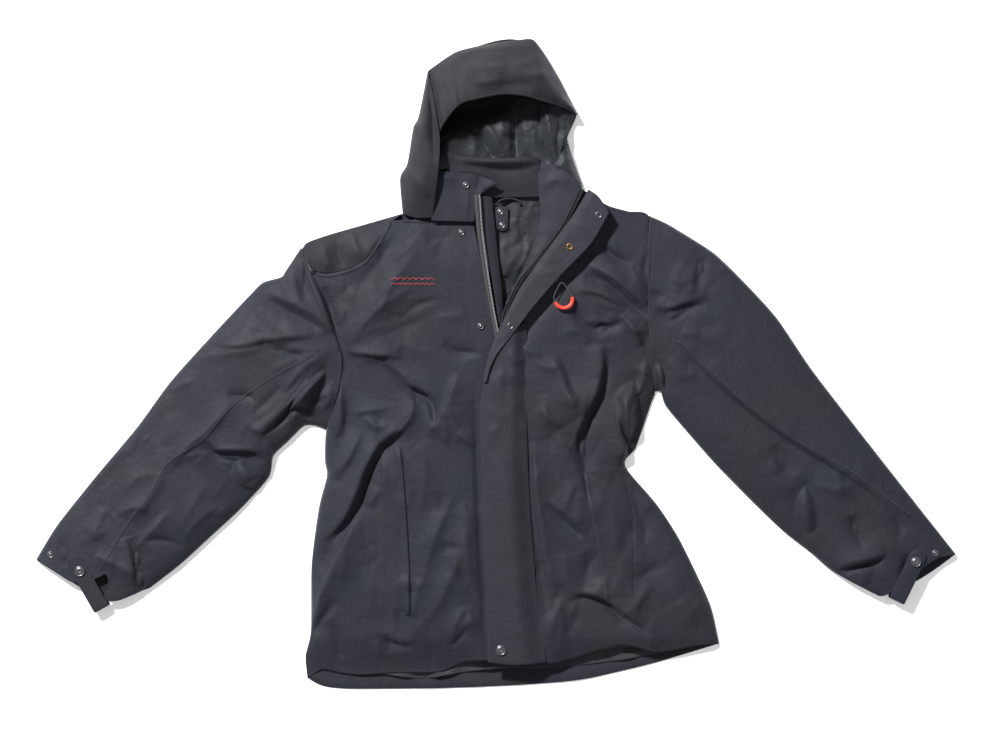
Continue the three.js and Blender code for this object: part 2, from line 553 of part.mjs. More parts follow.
add("flap_snap_lower", button(SNAP_CAP_R, SNAP_CAP_H), SNAP, [...at(6, -424), FLAP_Z + FLAP_T + 0.3]);
const flapSockets = { upper: at(151, 223), middle: at(108, 176), lower: at(20, 58) };
for (const [name, place] of Object.entries(flapSockets))
  add("flap_socket_" + name, button(STUD_R, STUD_H), SNAP, [...place, FLAP_Z - 0.5 + FLAP_T + 0.3]);
const frontStuds = { upper: at(-46, 268), middle: at(-53, 198), lower: at(-24, 58), hem: at(6, -424) };
for (const [name, [x, y]] of Object.entries(frontStuds)) {
  const onCollar = y > at(0, 224)[1];
  const z = onCollar ? 14 + (y - at(0, 224)[1]) * 0.12 + COLLAR_T + 1 : over(1.5)(x, y);
  add("front_stud_" + name, button(STUD_R, STUD_H, 1.2), SNAP, [x, y, z]);
}

// ---- Pockets ----
const WELT_T = 2;
const welts = {
  right: {
    left: plan([[-176, -121], [-176, -374]]),
    right: plan([[-144, -121], [-134, -200], [-129, -300], [-130, -374]]),
  },
  left: {
    left: plan([[130, -160], [138, -212], [146, -256], [162, -352]]),
    right: plan([[196, -176], [206, -240], [206, -352]]),
  },
};
for (const [side, { left, right }] of Object.entries(welts))
  add("pocket_welt_" + side, sheet({
    left, right, top: [left[0], right[0]], bottom: [left[left.length - 1], right[right.length - 1]],
    across: 2, along: 8, z: over(CLEAR), t: WELT_T,
  }), SHELL);
const bags = {
  pocket_bag_right: { x: [-170, -62], y: [-200, -400] },
  pocket_bag_left: { x: [84, 190], y: [-212, -390] },
  chest_pocket_bag: { x: [46, 96], y: [20, -90] },
};
for (const [name, { x, y }] of Object.entries(bags)) {
  const corner = (i, j) => at(x[i], y[j]);
  add(name, sheet({
    top: [corner(0, 0), corner(1, 0)], bottom: [corner(0, 1), corner(1, 1)],
    left: [corner(0, 0), corner(0, 1)], right: [corner(1, 0), corner(1, 1)],
    across: 4, along: 6, z: under(LINING_DROP - 0.9), t: 1.4,
  }), LINING);
}

// ---- Chest pocket's zip and puller, on the left front beside the turned-back flap ----
const CHEST_TOP = at(140, 208);
const CHEST_FOOT = at(84, 124);
const chestDir = Math.atan2(CHEST_TOP[1] - CHEST_FOOT[1], CHEST_TOP[0] - CHEST_FOOT[0]);
const chestAt = (d) => [CHEST_FOOT[0] + d * Math.cos(chestDir), CHEST_FOOT[1] + d * Math.sin(chestDir)];
const CHEST_Z = Math.max(...[0, 1].map((i) => over(CLEAR)(...[CHEST_FOOT, CHEST_TOP][i])));
const CHEST_TEETH_T = 1.8;
const CHEST_TEETH_W = 4;
add("chest_zip_chain", strip([CHEST_FOOT, CHEST_TOP], CHEST_TEETH_W, flat(CHEST_Z), CHEST_TEETH_T, 8),
  TEETH);
const chestSlider = add("chest_zip_slider",
  saddle(10, CHEST_TEETH_W + 2 * CLEAR, CHEST_TEETH_T - 0.6, 1.2), SNAP,
  [...chestAt(8), CHEST_Z + CHEST_TEETH_T + CLEAR]);
chestSlider.rotation.z = chestDir;
const EYE = at(96, 122); // where the cord leaves the slider
const CORD_Z = CHEST_Z + CHEST_TEETH_T + 2.2;
const tubeCentre = at(99.5, 98);
const bend = (a, r = PULLER_BEND_R) => {
  const rad = THREE.MathUtils.degToRad(a);
  return [tubeCentre[0] + r * Math.cos(rad), tubeCentre[1] + r * Math.sin(rad), CORD_Z];
};
const TUBE_FROM = 200;
const TUBE_TO = 375;
add("puller_tube", rod([TUBE_FROM, 230, 260, 290, 320, 350, TUBE_TO].map((a) => bend(a)), PULLER_R, 18,
  10), SIGNAL);
const TUBE_END_GAP = 3; // degrees of the bend between the tube's ends and the cord
add("puller_cord", rod([
  bend(TUBE_FROM - TUBE_END_GAP), bend(TUBE_FROM - 24), [EYE[0] - 3, EYE[1] - 8, CORD_Z], [EYE[0],
    EYE[1], CORD_Z],
  [EYE[0] + 4, EYE[1] - 7, CORD_Z], bend(TUBE_TO + 22), bend(TUBE_TO + TUBE_END_GAP),
], CORD_R, 26), THREAD);

// ---- Small pieces ----
add("chest_motif", sheet({
  top: plan([[-158, 132], [-92, 132]]), bottom: plan([[-158, 113], [-92, 113]]),
  left: plan([[-158, 132], [-158, 113]]), right: plan([[-92, 132], [-92, 113]]),
  across: 4, along: 2, z: over(CLEAR), t: 0.7,
}), THREAD);
const NECK_TAB_Z = SHELL_T + CLEAR + LINING_T + CLEAR;
add("neck_tab", sheet({
  top: plan([[-3, 236], [17, 236]]), bottom: plan([[-2, 202], [17, 202]]),
  left: plan([[-3, 236], [-2, 202]]), right: plan([[17, 236], [17, 202]]),
  across: 2, along: 3, z: flat(NECK_TAB_Z), t: 1.4,
}), LINING);
for (const [name, place] of Object.entries({ upper: at(5, 229), lower: at(8, 209) }))
  add("neck_snap_" + name, button(4.6, 2), SNAP, [...place, NECK_TAB_Z + 1.7]);
const LOOP = at(20, 239.5); // low enough that the lifted hood's collar passes it
add("hanger_loop", rod([
  [LOOP[0] - 18, LOOP[1], NECK_TAB_Z + 1.2], [LOOP[0] - 12, LOOP[1] + 4.5, NECK_TAB_Z + 2],
  [LOOP[0], LOOP[1] + 6, NECK_TAB_Z + 2.5], [LOOP[0] + 12, LOOP[1] + 4.5, NECK_TAB_Z + 2],
  [LOOP[0] + 18, LOOP[1], NECK_TAB_Z + 1.2],
], 1.1, 16), LINING);

export default group;
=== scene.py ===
"""A sailing jacket lying on its back: shell, linings, hood, storm flap, zips and snaps."""

import math

import bpy
import numpy as np
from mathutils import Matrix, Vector
from mathutils.bvhtree import BVHTree


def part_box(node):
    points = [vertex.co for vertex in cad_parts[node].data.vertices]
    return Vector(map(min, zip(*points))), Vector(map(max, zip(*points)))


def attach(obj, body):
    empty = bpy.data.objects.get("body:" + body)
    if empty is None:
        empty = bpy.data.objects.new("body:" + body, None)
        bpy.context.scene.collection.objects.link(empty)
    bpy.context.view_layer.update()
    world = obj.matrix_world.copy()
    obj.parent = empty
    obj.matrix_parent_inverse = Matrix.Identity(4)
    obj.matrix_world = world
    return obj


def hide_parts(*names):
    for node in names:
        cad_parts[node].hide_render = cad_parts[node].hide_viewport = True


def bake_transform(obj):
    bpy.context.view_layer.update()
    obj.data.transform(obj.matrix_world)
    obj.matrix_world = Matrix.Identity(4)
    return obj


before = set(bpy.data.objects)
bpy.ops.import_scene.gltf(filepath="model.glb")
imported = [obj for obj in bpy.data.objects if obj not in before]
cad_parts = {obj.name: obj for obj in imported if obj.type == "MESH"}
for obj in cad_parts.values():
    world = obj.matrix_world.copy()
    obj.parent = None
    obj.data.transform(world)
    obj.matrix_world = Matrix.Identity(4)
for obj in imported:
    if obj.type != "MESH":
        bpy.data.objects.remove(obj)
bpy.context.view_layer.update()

MM = 0.001
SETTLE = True

# ---------------------------------------------------------------- lines and grids


def curve(points, n, tension=0.5):
    """n + 1 points spaced evenly along a Catmull-Rom curve through the given points."""
    p = np.asarray(points, float)
    q = np.vstack([2 * p[0] - p[1], p, 2 * p[-1] - p[-2]])
    t = np.linspace(0, 1, 24, endpoint=False)[:, None]
    parts = []
    for i in range(len(p) - 1):
        a, b, c, d = q[i : i + 4]
        m0, m1 = (c - a) * tension, (d - b) * tension
        h = [2 * t**3 - 3 * t**2 + 1, t**3 - 2 * t**2 + t, -2 * t**3 + 3 * t**2, t**3 - t**2]
        parts.append(h[0] * b + h[1] * m0 + h[2] * c + h[3] * m1)
    fine = np.vstack(parts + [p[-1:]])
    along = np.concatenate([[0], np.cumsum(np.linalg.norm(np.diff(fine, axis=0), axis=1))])
    want = np.linspace(0, along[-1], n + 1)
    return np.stack([np.interp(want, along, fine[:, k]) for k in range(fine.shape[1])], 1)


def patch(top, bottom, left, right, nu, nv):
    """Plan grid (nv + 1, nu + 1, 2): a Coons patch, both ruled blends of its sides less the corner blend."""
    T, B = curve(top, nu, 0.35), curve(bottom, nu, 0.35)
    L, R = curve(left, nv, 0.35), curve(right, nv, 0.35)
    s = np.linspace(0, 1, nu + 1)[None, :, None]
    t = np.linspace(0, 1, nv + 1)[:, None, None]
    ruled = T[None] * (1 - t) + B[None] * t + L[:, None] * (1 - s) + R[:, None] * s
    corners = (T[0] * (1 - s) + T[-1] * s) * (1 - t) + (B[0] * (1 - s) + B[-1] * s) * t
    return ruled - corners


def smooth(x):
    """Rises from 0 to 1 with level ends."""
    x = np.clip(x, 0, 1)
    return x * x * (3 - 2 * x)


def away(xy, line):
    """Each point's signed distance to a line of straight stretches, left of it positive, and share along."""
    line = np.asarray(line, float)
    seg = np.diff(line, axis=0)
    length = np.linalg.norm(seg, axis=1)
    start = np.concatenate([[0], np.cumsum(length)])
    best = np.full(xy.shape[:-1], 1e9)
    side = np.zeros(xy.shape[:-1])
    share = np.zeros(xy.shape[:-1])
    for a, d, n, s in zip(line[:-1], seg, length, start):
        rel = xy - a
        t = np.clip((rel @ d) / n**2, 0, 1)
        off = rel - t[..., None] * d
        dist = np.linalg.norm(off, axis=-1)
        near = dist < best
        best = np.where(near, dist, best)
        side = np.where(near, np.sign(d[0] * rel[..., 1] - d[1] * rel[..., 0]), side)
        share = np.where(near, (s + t * n) / start[-1], share)
    return best * np.where(side == 0, 1, side), share


def fold(xy, line, high, left, right):
    """Height of one fold: a rounded crest that falls off over its own width on each side and fades out.

    Across the line it is exp(-(sqrt(d^2 + soft^2) - soft) / width), so small widths give crisp creases.
    """
    soft = 2.5
    d, share = away(xy, curve(line, 16))
    wide = np.where(d > 0, left, right)
    ends = np.sin(np.pi * np.clip(share, 0.01, 0.99)) ** 0.7
    return high * np.exp(-(np.sqrt(d * d + soft * soft) - soft) / wide) * ends


def folds(xy, strokes):
    """The sum of several folds, each (line, height, width to its left, width to its right)."""
    return sum(fold(xy, *stroke) for stroke in strokes) if strokes else np.zeros(xy.shape[:-1])


def lean(xy, strokes, share=0.5):
    """Sideways shift of the tall folds towards their steep side, so that they overhang like pressed cloth."""
    shift = np.zeros_like(xy)
    for line, high, left, right in strokes:
        if high < 8 or max(left, right) < 1.8 * min(left, right):
            continue
        run = np.subtract(line[-1], line[0]) / np.linalg.norm(np.subtract(line[-1], line[0]))
        side = np.array([-run[1], run[0]]) * (1 if left < right else -1)
        shift += side * (share * fold(xy, line, high, max(8, left), max(8, right)))[..., None]
    return shift


def ripple(xy, size, seed, angle=0.0, stretch=1.0):
    """Smooth noise between about -1 and 1: sines of random directions, longer along one angle."""
    rng = np.random.default_rng(seed)
    c, s = math.cos(angle), math.sin(angle)
    u = (xy[..., 0] * c + xy[..., 1] * s) / (size * stretch)
    v = (-xy[..., 0] * s + xy[..., 1] * c) / size
    total = 0
    for _ in range(14):
        a, phase = rng.uniform(0, 2 * math.pi, 2)
        k = rng.uniform(0.6, 1.6) * 2
        total = total + np.sin(k * (math.cos(a) * u + math.sin(a) * v) + phase)
    return total / 3.7


def creases(count, seed, box, heading, long=(25, 90), high=(1.5, 4.5), spread=0.35):
    """Seeded small folds inside a box of the plan, each a bowed stroke roughly along heading(x, y)."""
    rng = np.random.default_rng(seed)
    made = []
    for _ in range(count):
        x, y = rng.uniform(box[0], box[2]), rng.uniform(box[1], box[3])
        angle = heading(x, y) + rng.normal(0, spread)
        run = rng.uniform(*long) / 2 * np.array([math.cos(angle), math.sin(angle)])
        bow = np.array([-run[1], run[0]]) * rng.uniform(-0.2, 0.2)
        tall = rng.uniform(*high) * (1 if rng.random() < 0.65 else -1)
        near, far = rng.uniform(3.5, 6), rng.uniform(9, 20)
        widths = (near, far) if rng.random() < 0.5 else (far, near)
        made.append(
            ([(x - run[0], y - run[1]), (x + bow[0], y + bow[1]), (x + run[0], y + run[1])], tall, *widths)
        )
    return made


def toward(cx, cy):
    """Headings of folds that run out from one point."""
    return lambda x, y: math.atan2(y - cy, x - cx)


def noise_sharp(xy, size, seed, angle=0.0, stretch=1.0):
    """Creased noise: one minus the size of the smooth noise, so that its ridges are crisp."""
    return 1 - 2 * np.abs(ripple(xy, size, seed, angle, stretch))


# ---------------------------------------------------------------- cloth


def settle(P, held, floor, seed, spare=0.004, steps=14, bend=0.12, passes=6, weight=0.004, lively=0.12):
    """Cloth that settles under its weight on what lies below it.

    P is a grid of points in millimetres. Each stretch between neighbours, along, across and diagonally, is a
    link a little longer than its two ends are apart, so that the cloth buckles. Links to the second
    neighbours resist bending. A step moves the points on, lets them fall, and lets the links pull their ends
    together or push them apart, all at once, in several passes. Held points stay.
    """
    rng = np.random.default_rng(seed)
    shift = [((0, 1), 1.0), ((1, 0), 1.0), ((1, 1), 0.7), ((1, -1), 0.7), ((0, 2), bend), ((2, 0), bend)]

    def ends(A, di, dj):
        n, m = A.shape[:2]
        j0, j1 = (0, m - dj) if dj >= 0 else (-dj, m)
        return (slice(0, n - di), slice(j0, j1)), (slice(di, n), slice(j0 + dj, j1 + dj))

    links = []
    for (di, dj), stiff in shift:
        a, b = ends(P, di, dj)
        rest = np.linalg.norm(P[b] - P[a], axis=-1)
        if max(abs(di), abs(dj)) == 2:
            mid = (
                slice(a[0].start + di // 2, a[0].stop + di // 2),
                slice(a[1].start + dj // 2, a[1].stop + dj // 2),
            )
            rest = np.linalg.norm(P[mid] - P[a], axis=-1) + np.linalg.norm(P[b] - P[mid], axis=-1)
        links.append((a, b, rest * (1 + spare), stiff))
    free = (1 - held)[..., None]
    P = P.copy()
    P[..., 2] += rng.normal(0, lively, P.shape[:2]) * free[..., 0]
    before = P.copy()
    for _ in range(steps):
        speed = (P - before) * 0.92
        before = P.copy()
        P = P + speed * free
        P[..., 2] -= weight * free[..., 0]
        for _ in range(passes):
            move = np.zeros_like(P)
            count = np.zeros(P.shape[:2] + (1,))
            for a, b, rest, stiff in links:
                d = P[b] - P[a]
                n = np.maximum(np.linalg.norm(d, axis=-1), 1e-9)
                pull = (stiff * 0.5 * (n - rest) / n)[..., None] * d
                move[a] += pull
                move[b] -= pull
                count[a] += stiff
                count[b] += stiff
            P += move * free * 1.6 / np.maximum(count, 1)
            P[..., 2] = np.maximum(P[..., 2], floor(P))
    return P


# ---------------------------------------------------------------- meshes


def mesh_piece(name, points, faces, uv=None, shade=True):
    """A mesh object from points in millimetres."""
    mesh = bpy.data.meshes.new(name)
    mesh.from_pydata(
        (np.asarray(points) * MM).tolist(),
        [],
        np.asarray(faces).tolist() if len(faces) else [],
    )
    if uv is not None:
        layer = mesh.uv_layers.new(name="UVMap")
        index = np.empty(len(mesh.loops), np.int32)
        mesh.loops.foreach_get("vertex_index", index)
        layer.data.foreach_set("uv", (np.asarray(uv)[index] * MM).astype(np.float32).ravel())
    if shade:
        mesh.polygons.foreach_set("use_smooth", np.ones(len(mesh.polygons), bool))
    mesh.update()
    obj = bpy.data.objects.new(name, mesh)
    bpy.context.scene.collection.objects.link(obj)
    return obj


def grid_faces(n, m, wrap=False):
    """Quads of an n by m grid of points; wrap joins its last column to its first."""
    i = np.arange(n * m).reshape(n, m)
    if wrap:
        i = np.hstack([i, i[:, :1]])
    return np.stack([i[:-1, :-1], i[1:, :-1], i[1:, 1:], i[:-1, 1:]], -1).reshape(-1, 4)


def cloth_piece(name, P, material, thick=1.0, fine=1, wrap=False, up=True):
    """A cloth piece from a grid of points, with the fabric's thickness behind it."""
    n, m = P.shape[:2]
    across = np.concatenate([[0], np.cumsum(np.linalg.norm(np.diff(P[n // 2], axis=0), axis=1))])
    down = np.concatenate([[0], np.cumsum(np.linalg.norm(np.diff(P[:, m // 2], axis=0), axis=1))])
    uv = np.stack(np.broadcast_arrays(across[None], down[:, None]), -1).reshape(-1, 2)
    faces = grid_faces(n, m, wrap)
    points = P.reshape(-1, 3)
    a, b, c = (points[faces[:, k]] for k in range(3))
    if (np.cross(b - a, c - a)[:, 2].sum() > 0) != up:
        faces = faces[:, ::-1]
    obj = mesh_piece(name, points, faces, uv)
    obj.data.materials.append(material)
    if thick:
        wall = obj.modifiers.new("thickness", "SOLIDIFY")
        wall.thickness = thick * MM
        wall.offset = -1
    if fine:
        sub = obj.modifiers.new("fine", "SUBSURF")
        sub.levels = sub.render_levels = fine
    return obj


# ---------------------------------------------------------------- materials


class Nodes:
    """Short hand for building a material's nodes."""

    def __init__(self, name):
        self.material = bpy.data.materials.new(name)
        self.material.use_nodes = True
        self.tree = self.material.node_tree
        self.tree.nodes.clear()
        self.out = self.add("ShaderNodeOutputMaterial")
        self.skin = self.add("ShaderNodeBsdfPrincipled")
        self.link(self.skin.outputs[0], self.out.inputs[0])
        self.place = self.add("ShaderNodeTexCoord").outputs["Object"]
        self.uv = self.add("ShaderNodeTexCoord").outputs["UV"]

    def add(self, kind, **values):
        node = self.tree.nodes.new(kind)
        for key, value in values.items():
            setattr(node, key, value)
        return node

    def link(self, a, b):
        self.tree.links.new(a, b)

    def set(self, **values):
        for key, value in values.items():
            self.skin.inputs[key.replace("_", " ")].default_value = value

    def noise(self, scale, detail=3, rough=0.55):
        tex = self.add("ShaderNodeTexNoise")
        tex.inputs["Scale"].default_value = scale
        tex.inputs["Detail"].default_value = detail
        tex.inputs["Roughness"].default_value = rough
        self.link(self.place, tex.inputs["Vector"])
        return tex.outputs[0]

    def wave(self, scale, direction, coords=None):
        tex = self.add("ShaderNodeTexWave", bands_direction=direction)
        tex.inputs["Scale"].default_value = scale
        self.link(coords or self.uv, tex.inputs["Vector"])
        return tex.outputs[1]

    def ramp(self, value, stops):
        node = self.add("ShaderNodeValToRGB")
        while len(node.color_ramp.elements) < len(stops):
            node.color_ramp.elements.new(0.5)
        for element, (at, colour) in zip(node.color_ramp.elements, stops):
            element.position = at
            element.color = (*colour, 1) if len(colour) == 3 else colour
        self.link(value, node.inputs[0])
        return node.outputs[0]

    def mix(self, factor, a, b, kind="MIX"):
        node = self.add("ShaderNodeMix", data_type="RGBA", blend_type=kind)
        for socket, value in ((node.inputs[0], factor), (node.inputs[6], a), (node.inputs[7], b)):
            if hasattr(value, "is_output"):
                self.link(value, socket)
            else:
                socket.default_value = value if not isinstance(value, tuple) else (*value, 1)
        return node.outputs[2]

    def math(self, kind, a, b=0.0):
        node = self.add("ShaderNodeMath", operation=kind)
        for socket, value in zip(node.inputs, (a, b)):
            if hasattr(value, "is_output"):
                self.link(value, socket)
            else:
                socket.default_value = value
        return node.outputs[0]

    def bump(self, height, strength, distance, normal=None):
        node = self.add("ShaderNodeBump")
        node.inputs["Strength"].default_value = strength
        node.inputs["Distance"].default_value = distance
        self.link(height, node.inputs["Height"])
        if normal:
            self.link(normal, node.inputs["Normal"])
        return node.outputs[0]


def linear(r, g, b):
    """A display colour from 0 to 255 as the scene's linear colour."""
    return tuple(((c / 255 + 0.055) / 1.055) ** 2.4 if c > 10 else c / 255 / 12.92 for c in (r, g, b))


def cloth_material(
    name, cool, warm, rough=0.68, sheen=0.1, thread=0.0006, crinkle=0.1, soft_scale=26, shade=None,
):
    """Woven nylon: cool and warm patches, a fine weave in the bump, small crinkles, a soft sheen.

    shade paints shade into its colour, darker from one value of Y less 0.6 X to another: painted shade for the
    deep end of a lining that the light doesn't reach.
    """
    n = Nodes(name)
    patches = n.noise(7, 4, 0.6)
    colour = n.mix(n.ramp(patches, [(0.3, (0, 0, 0)), (0.75, (1, 1, 1))]), cool, warm)
    mottle = n.ramp(n.noise(45, 5, 0.65), [(0.3, (0.9, 0.9, 0.9)), (0.7, (1.08, 1.08, 1.08))])
    colour = n.mix(1.0, colour, mottle, "MULTIPLY")
    # Painted shade: the colour is multiplied darker towards the deep end, down to 0.03 of itself.
    if shade:
        axes = n.add("ShaderNodeSeparateXYZ")
        n.link(n.place, axes.inputs[0])
        depth = n.math("SUBTRACT", axes.outputs[1], n.math("MULTIPLY", axes.outputs[0], 0.6))
        depth = n.math("DIVIDE", n.math("SUBTRACT", depth, shade[0]), shade[1] - shade[0])
        painted_shade = n.ramp(depth, [(0.0, (1, 1, 1)), (1.0, (0.03, 0.03, 0.03))])
        colour = n.mix(1.0, colour, painted_shade, "MULTIPLY")
    n.link(colour, n.skin.inputs["Base Color"])
    weave = n.math("MULTIPLY", n.wave(math.pi / thread / 20, "X"), n.wave(math.pi / thread / 20, "Y"))
    fine = n.bump(weave, 0.25, 0.0002)
    wrinkle = n.bump(n.noise(soft_scale, 4, 0.6), crinkle, 0.004, fine)
    ridge = n.math("ABSOLUTE", n.math("SUBTRACT", n.noise(soft_scale * 0.55, 3, 0.5), 0.5))
    wrinkle = n.bump(n.math("MINIMUM", ridge, 0.07), crinkle * 1.6, 0.03, wrinkle)
    n.link(wrinkle, n.skin.inputs["Normal"])
    worn = n.ramp(n.noise(30, 4), [(0.3, (rough - 0.08,) * 3), (0.7, (rough + 0.1,) * 3)])
    n.link(worn, n.skin.inputs["Roughness"])
    n.set(Sheen_Weight=sheen, Sheen_Roughness=0.45, Specular_IOR_Level=0.2)
    n.skin.inputs["Sheen Tint"].default_value = (0.75, 0.8, 1.0, 1)
    return n.material


SHELL = cloth_material("shell nylon", linear(34, 37, 48), linear(39, 38, 42))
LINING = cloth_material("lining taffeta", linear(46, 50, 56), linear(51, 54, 57), 0.6, 0.1, crinkle=0.3)

# ---------------------------------------------------------------- plan of the garment, millimetres

YOKE_LINE = [(-279, 143), (-255, 136), (-222, 143), (-195, 158), (-176, 186), (-160, 214)]
SHOULDER_RIGHT = [(-293, 175), (-266, 191), (-205, 209), (-142, 227)]
ARMHOLE_RIGHT = [(-293, 175), (-284, 150), (-261, 99), (-241, 43), (-231, 7), (-238, -45), (-256, -96)]
ARMHOLE_LEFT = [(228, 223), (226, 180), (225, 120), (226, 60), (229, 8), (237, -39)]
SIDE_RIGHT = [
    (-256, -96), (-258, -144), (-255, -166), (-267, -214), (-278, -300), (-279, -398), (-287, -436),
    (-284, -470),
]
SIDE_LEFT = [
    (237, -39), (231, -58), (208, -124), (191, -150), (238, -207), (273, -261), (318, -356), (333, -418),
]
HEM_RIGHT = [
    (-284, -470), (-262, -456), (-234, -461), (-205, -464), (-154, -461), (-84, -459), (-45, -443),
    (28, -441),
]
HEM_LEFT = [
    (28, -441), (50, -447), (95, -444), (144, -429), (189, -418), (243, -429), (300, -420), (333, -418),
]
HEM_BACK = [
    (-284, -472), (-261, -484), (-219, -488), (-84, -487), (20, -483), (93, -478), (144, -471), (240, -448),
    (333, -420),
]
ZIP_RIGHT = [(-36, 216), (-28, 180), (-14, 110), (0, 48), (8, 0), (16, -100), (22, -250), (28, -441)]
ZIP_LEFT = [
    (129, 262), (97, 207), (61, 160), (35, 129), (15, 87), (7, 50), (10, 0), (17, -100), (23, -250),
    (28, -441),
]
SHOULDER_LEFT = [(129, 262), (165, 239), (196, 230), (228, 223)]
SLEEVE_RIGHT_TOP = [
    (-293, 175), (-315, 142), (-323, 131), (-350, 123), (-370, 104), (-430, 40), (-489, -26), (-538, -93),
    (-600, -167), (-658, -240), (-690, -292),
]
SLEEVE_RIGHT_LOW = [
    (-256, -96), (-274, -90), (-290, -91), (-315, -115), (-336, -136), (-343, -168), (-385, -215),
    (-428, -255), (-475, -298), (-520, -333),
]
SLEEVE_LEFT_TOP = [
    (228, 223), (260, 208), (326, 166), (380, 113), (420, 68), (470, -6), (540, -97), (620, -199),
    (687, -284),
]
SLEEVE_LEFT_LOW = [
    (237, -39), (246, -40), (254, -62), (290, -105), (328, -148), (380, -201), (429, -248), (470, -280),
    (506, -310), (550, -323),
]


def torso_rise(xy):
    """Height of the bulk under the fronts: an arch from side to side, low at the shoulders."""
    x, y = xy[..., 0], xy[..., 1]
    right = np.interp(-y, [-230, 90, 215, 320, 480], [-280, -256, -266, -279, -285])
    left = np.interp(-y, [-230, 40, 150, 210, 260, 360, 420], [250, 236, 190, 238, 273, 318, 334])
    u = np.clip((2 * x - left - right) / (left - right), -1, 1)
    return 4 + 17 * (1 - u**2) ** 0.5 * (0.35 + 0.65 * smooth((250 - y) / 110))


FLOOR_GAP = 0.6
PIECES = {}


def keep(obj, body, slot, *nodes):
    """Rides a piece on its body when the body is a name, and else only bakes its transform; hides the plain CAD
    solids that it stands for. The slot is not used.
    """
    if isinstance(body, str):
        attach(obj, body)
    else:
        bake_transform(obj)
    if nodes:
        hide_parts(*nodes)
    PIECES[obj.name] = obj
    return obj


def lay(name, grid, z, material, thick, fine, body, slot, *nodes):
    """A cloth piece at given heights over a grid of the plan, kept on its body."""
    return keep(cloth_piece(name, np.dstack([grid, z]), material, thick, fine), body, slot, *nodes)


def surface(*objs):
    """A function that gives the top height of these pieces, in millimetres, above points of the plan."""
    bpy.context.view_layer.update()
    graph = bpy.context.evaluated_depsgraph_get()
    trees = [BVHTree.FromObject(o, graph) for o in objs]

    def height(xy, missing=5.0):
        found = []
        for x, y in np.asarray(xy, float).reshape(-1, 2) * MM:
            hits = [t.ray_cast((x, y, 0.3), (0, 0, -1))[0] for t in trees]
            tops = [h.z for h in hits if h is not None]
            found.append(max(tops) / MM if tops else np.nan)
        found = np.array(found).reshape(np.asarray(xy).shape[:-1])
        if np.isnan(found).any():
            known = found[~np.isnan(found)]
            found = np.where(np.isnan(found), known.mean() if len(known) else missing, found)
        return found

    return height


def length_of(line):
    """The summed length of a line's straight stretches."""
    return np.linalg.norm(np.diff(np.asarray(line, float), axis=0), axis=1).sum()


def sideways(along):
    """The given directions of the plan turned a quarter to the left."""
    return np.stack([-along[:, 1], along[:, 0]], 1)


def headings(path):
    """The unit direction of a path at each of its points."""
    along = np.gradient(path, axis=0)
    return along / np.linalg.norm(along, axis=1)[:, None]


def band(name, line, width, height, material, lift=0.5, thick=0.5):
    """A narrow strip laid on the surface below it, centred on a line of the plan."""
    mid = curve(line, max(6, int(length_of(line) / 3)))
    across = sideways(headings(mid))
    offsets = width * np.array([-0.5, -0.4, 0, 0.4, 0.5])
    xy = mid[:, None] + across[:, None] * offsets[None, :, None]
    z = height(xy)
    z = z + lift * np.array([0.15, 1, 1, 1, 0.15])
    return cloth_piece(name, np.dstack([xy, z]), material, thick, 0)


def stitches(name, line, height, material, pitch=3.4, long=2.4, wide=0.7, high=0.35):
    """A row of stitches laid on the surface: each a small rounded bar, two rings closed by end points."""
    mid = curve(line, max(2, int(length_of(line) / pitch)))
    along = np.diff(mid, axis=0)
    along /= np.linalg.norm(along, axis=1)[:, None]
    mid = (mid[1:] + mid[:-1]) / 2
    across = sideways(along)
    z = height(mid)
    shape = np.array(
        [
            (-0.5, 0, 0), (-0.3, 0.5, 0), (-0.3, 0, 1), (-0.3, -0.5, 0), (0.3, 0.5, 0), (0.3, 0, 1),
            (0.3, -0.5, 0), (0.5, 0, 0),
        ]
    )
    faces = np.array(
        [
            (0, 1, 2), (0, 2, 3), (1, 4, 5), (1, 5, 2), (2, 5, 6), (2, 6, 3), (4, 7, 5), (5, 7, 6),
            (0, 3, 1), (3, 6, 4), (3, 4, 1), (6, 7, 4),
        ]
    )
    xy = mid[:, None] + along[:, None] * shape[None, :, :1] * long + across[:, None] * shape[None, :, 1:2] * wide
    points = np.concatenate([xy, (z[:, None] + shape[None, :, 2] * high)[..., None]], 2).reshape(-1, 3)
    index = (faces[None] + 8 * np.arange(len(mid))[:, None, None]).reshape(-1, 3)
    obj = mesh_piece(name, points, index)
    obj.data.materials.append(material)
    return obj


def tube(name, path, radius, material, sides=12, fine=0):
    """A round cord along a path of points, its ends closed by shrinking rings."""
    path = np.asarray(path, float)
    along = headings(path)
    side = np.cross(along, np.array([0, 0, 1.0]))
    side /= np.maximum(np.linalg.norm(side, axis=1), 1e-6)[:, None]
    up = np.cross(side, along)
    turn = np.linspace(0, 2 * np.pi, sides, endpoint=False)
    spokes = np.cos(turn)[None, :, None] * side[:, None] + np.sin(turn)[None, :, None] * up[:, None]
    rings = path[:, None] + radius * spokes
    caps = [np.repeat(path[:1, None], sides, 1) + (rings[:1] - path[:1, None]) * f for f in (0.02, 0.7)]
    tail = [np.repeat(path[-1:, None], sides, 1) + (rings[-1:] - path[-1:, None]) * f for f in (0.7, 0.02)]
    points = np.concatenate(caps + [rings] + tail).reshape(-1, 3)
    n = len(points) // sides
    obj = mesh_piece(name, points, grid_faces(n, sides, True))
    obj.data.materials.append(material)
    if fine:
        sub = obj.modifiers.new("fine", "SUBSURF")
        sub.levels = sub.render_levels = fine
    return obj


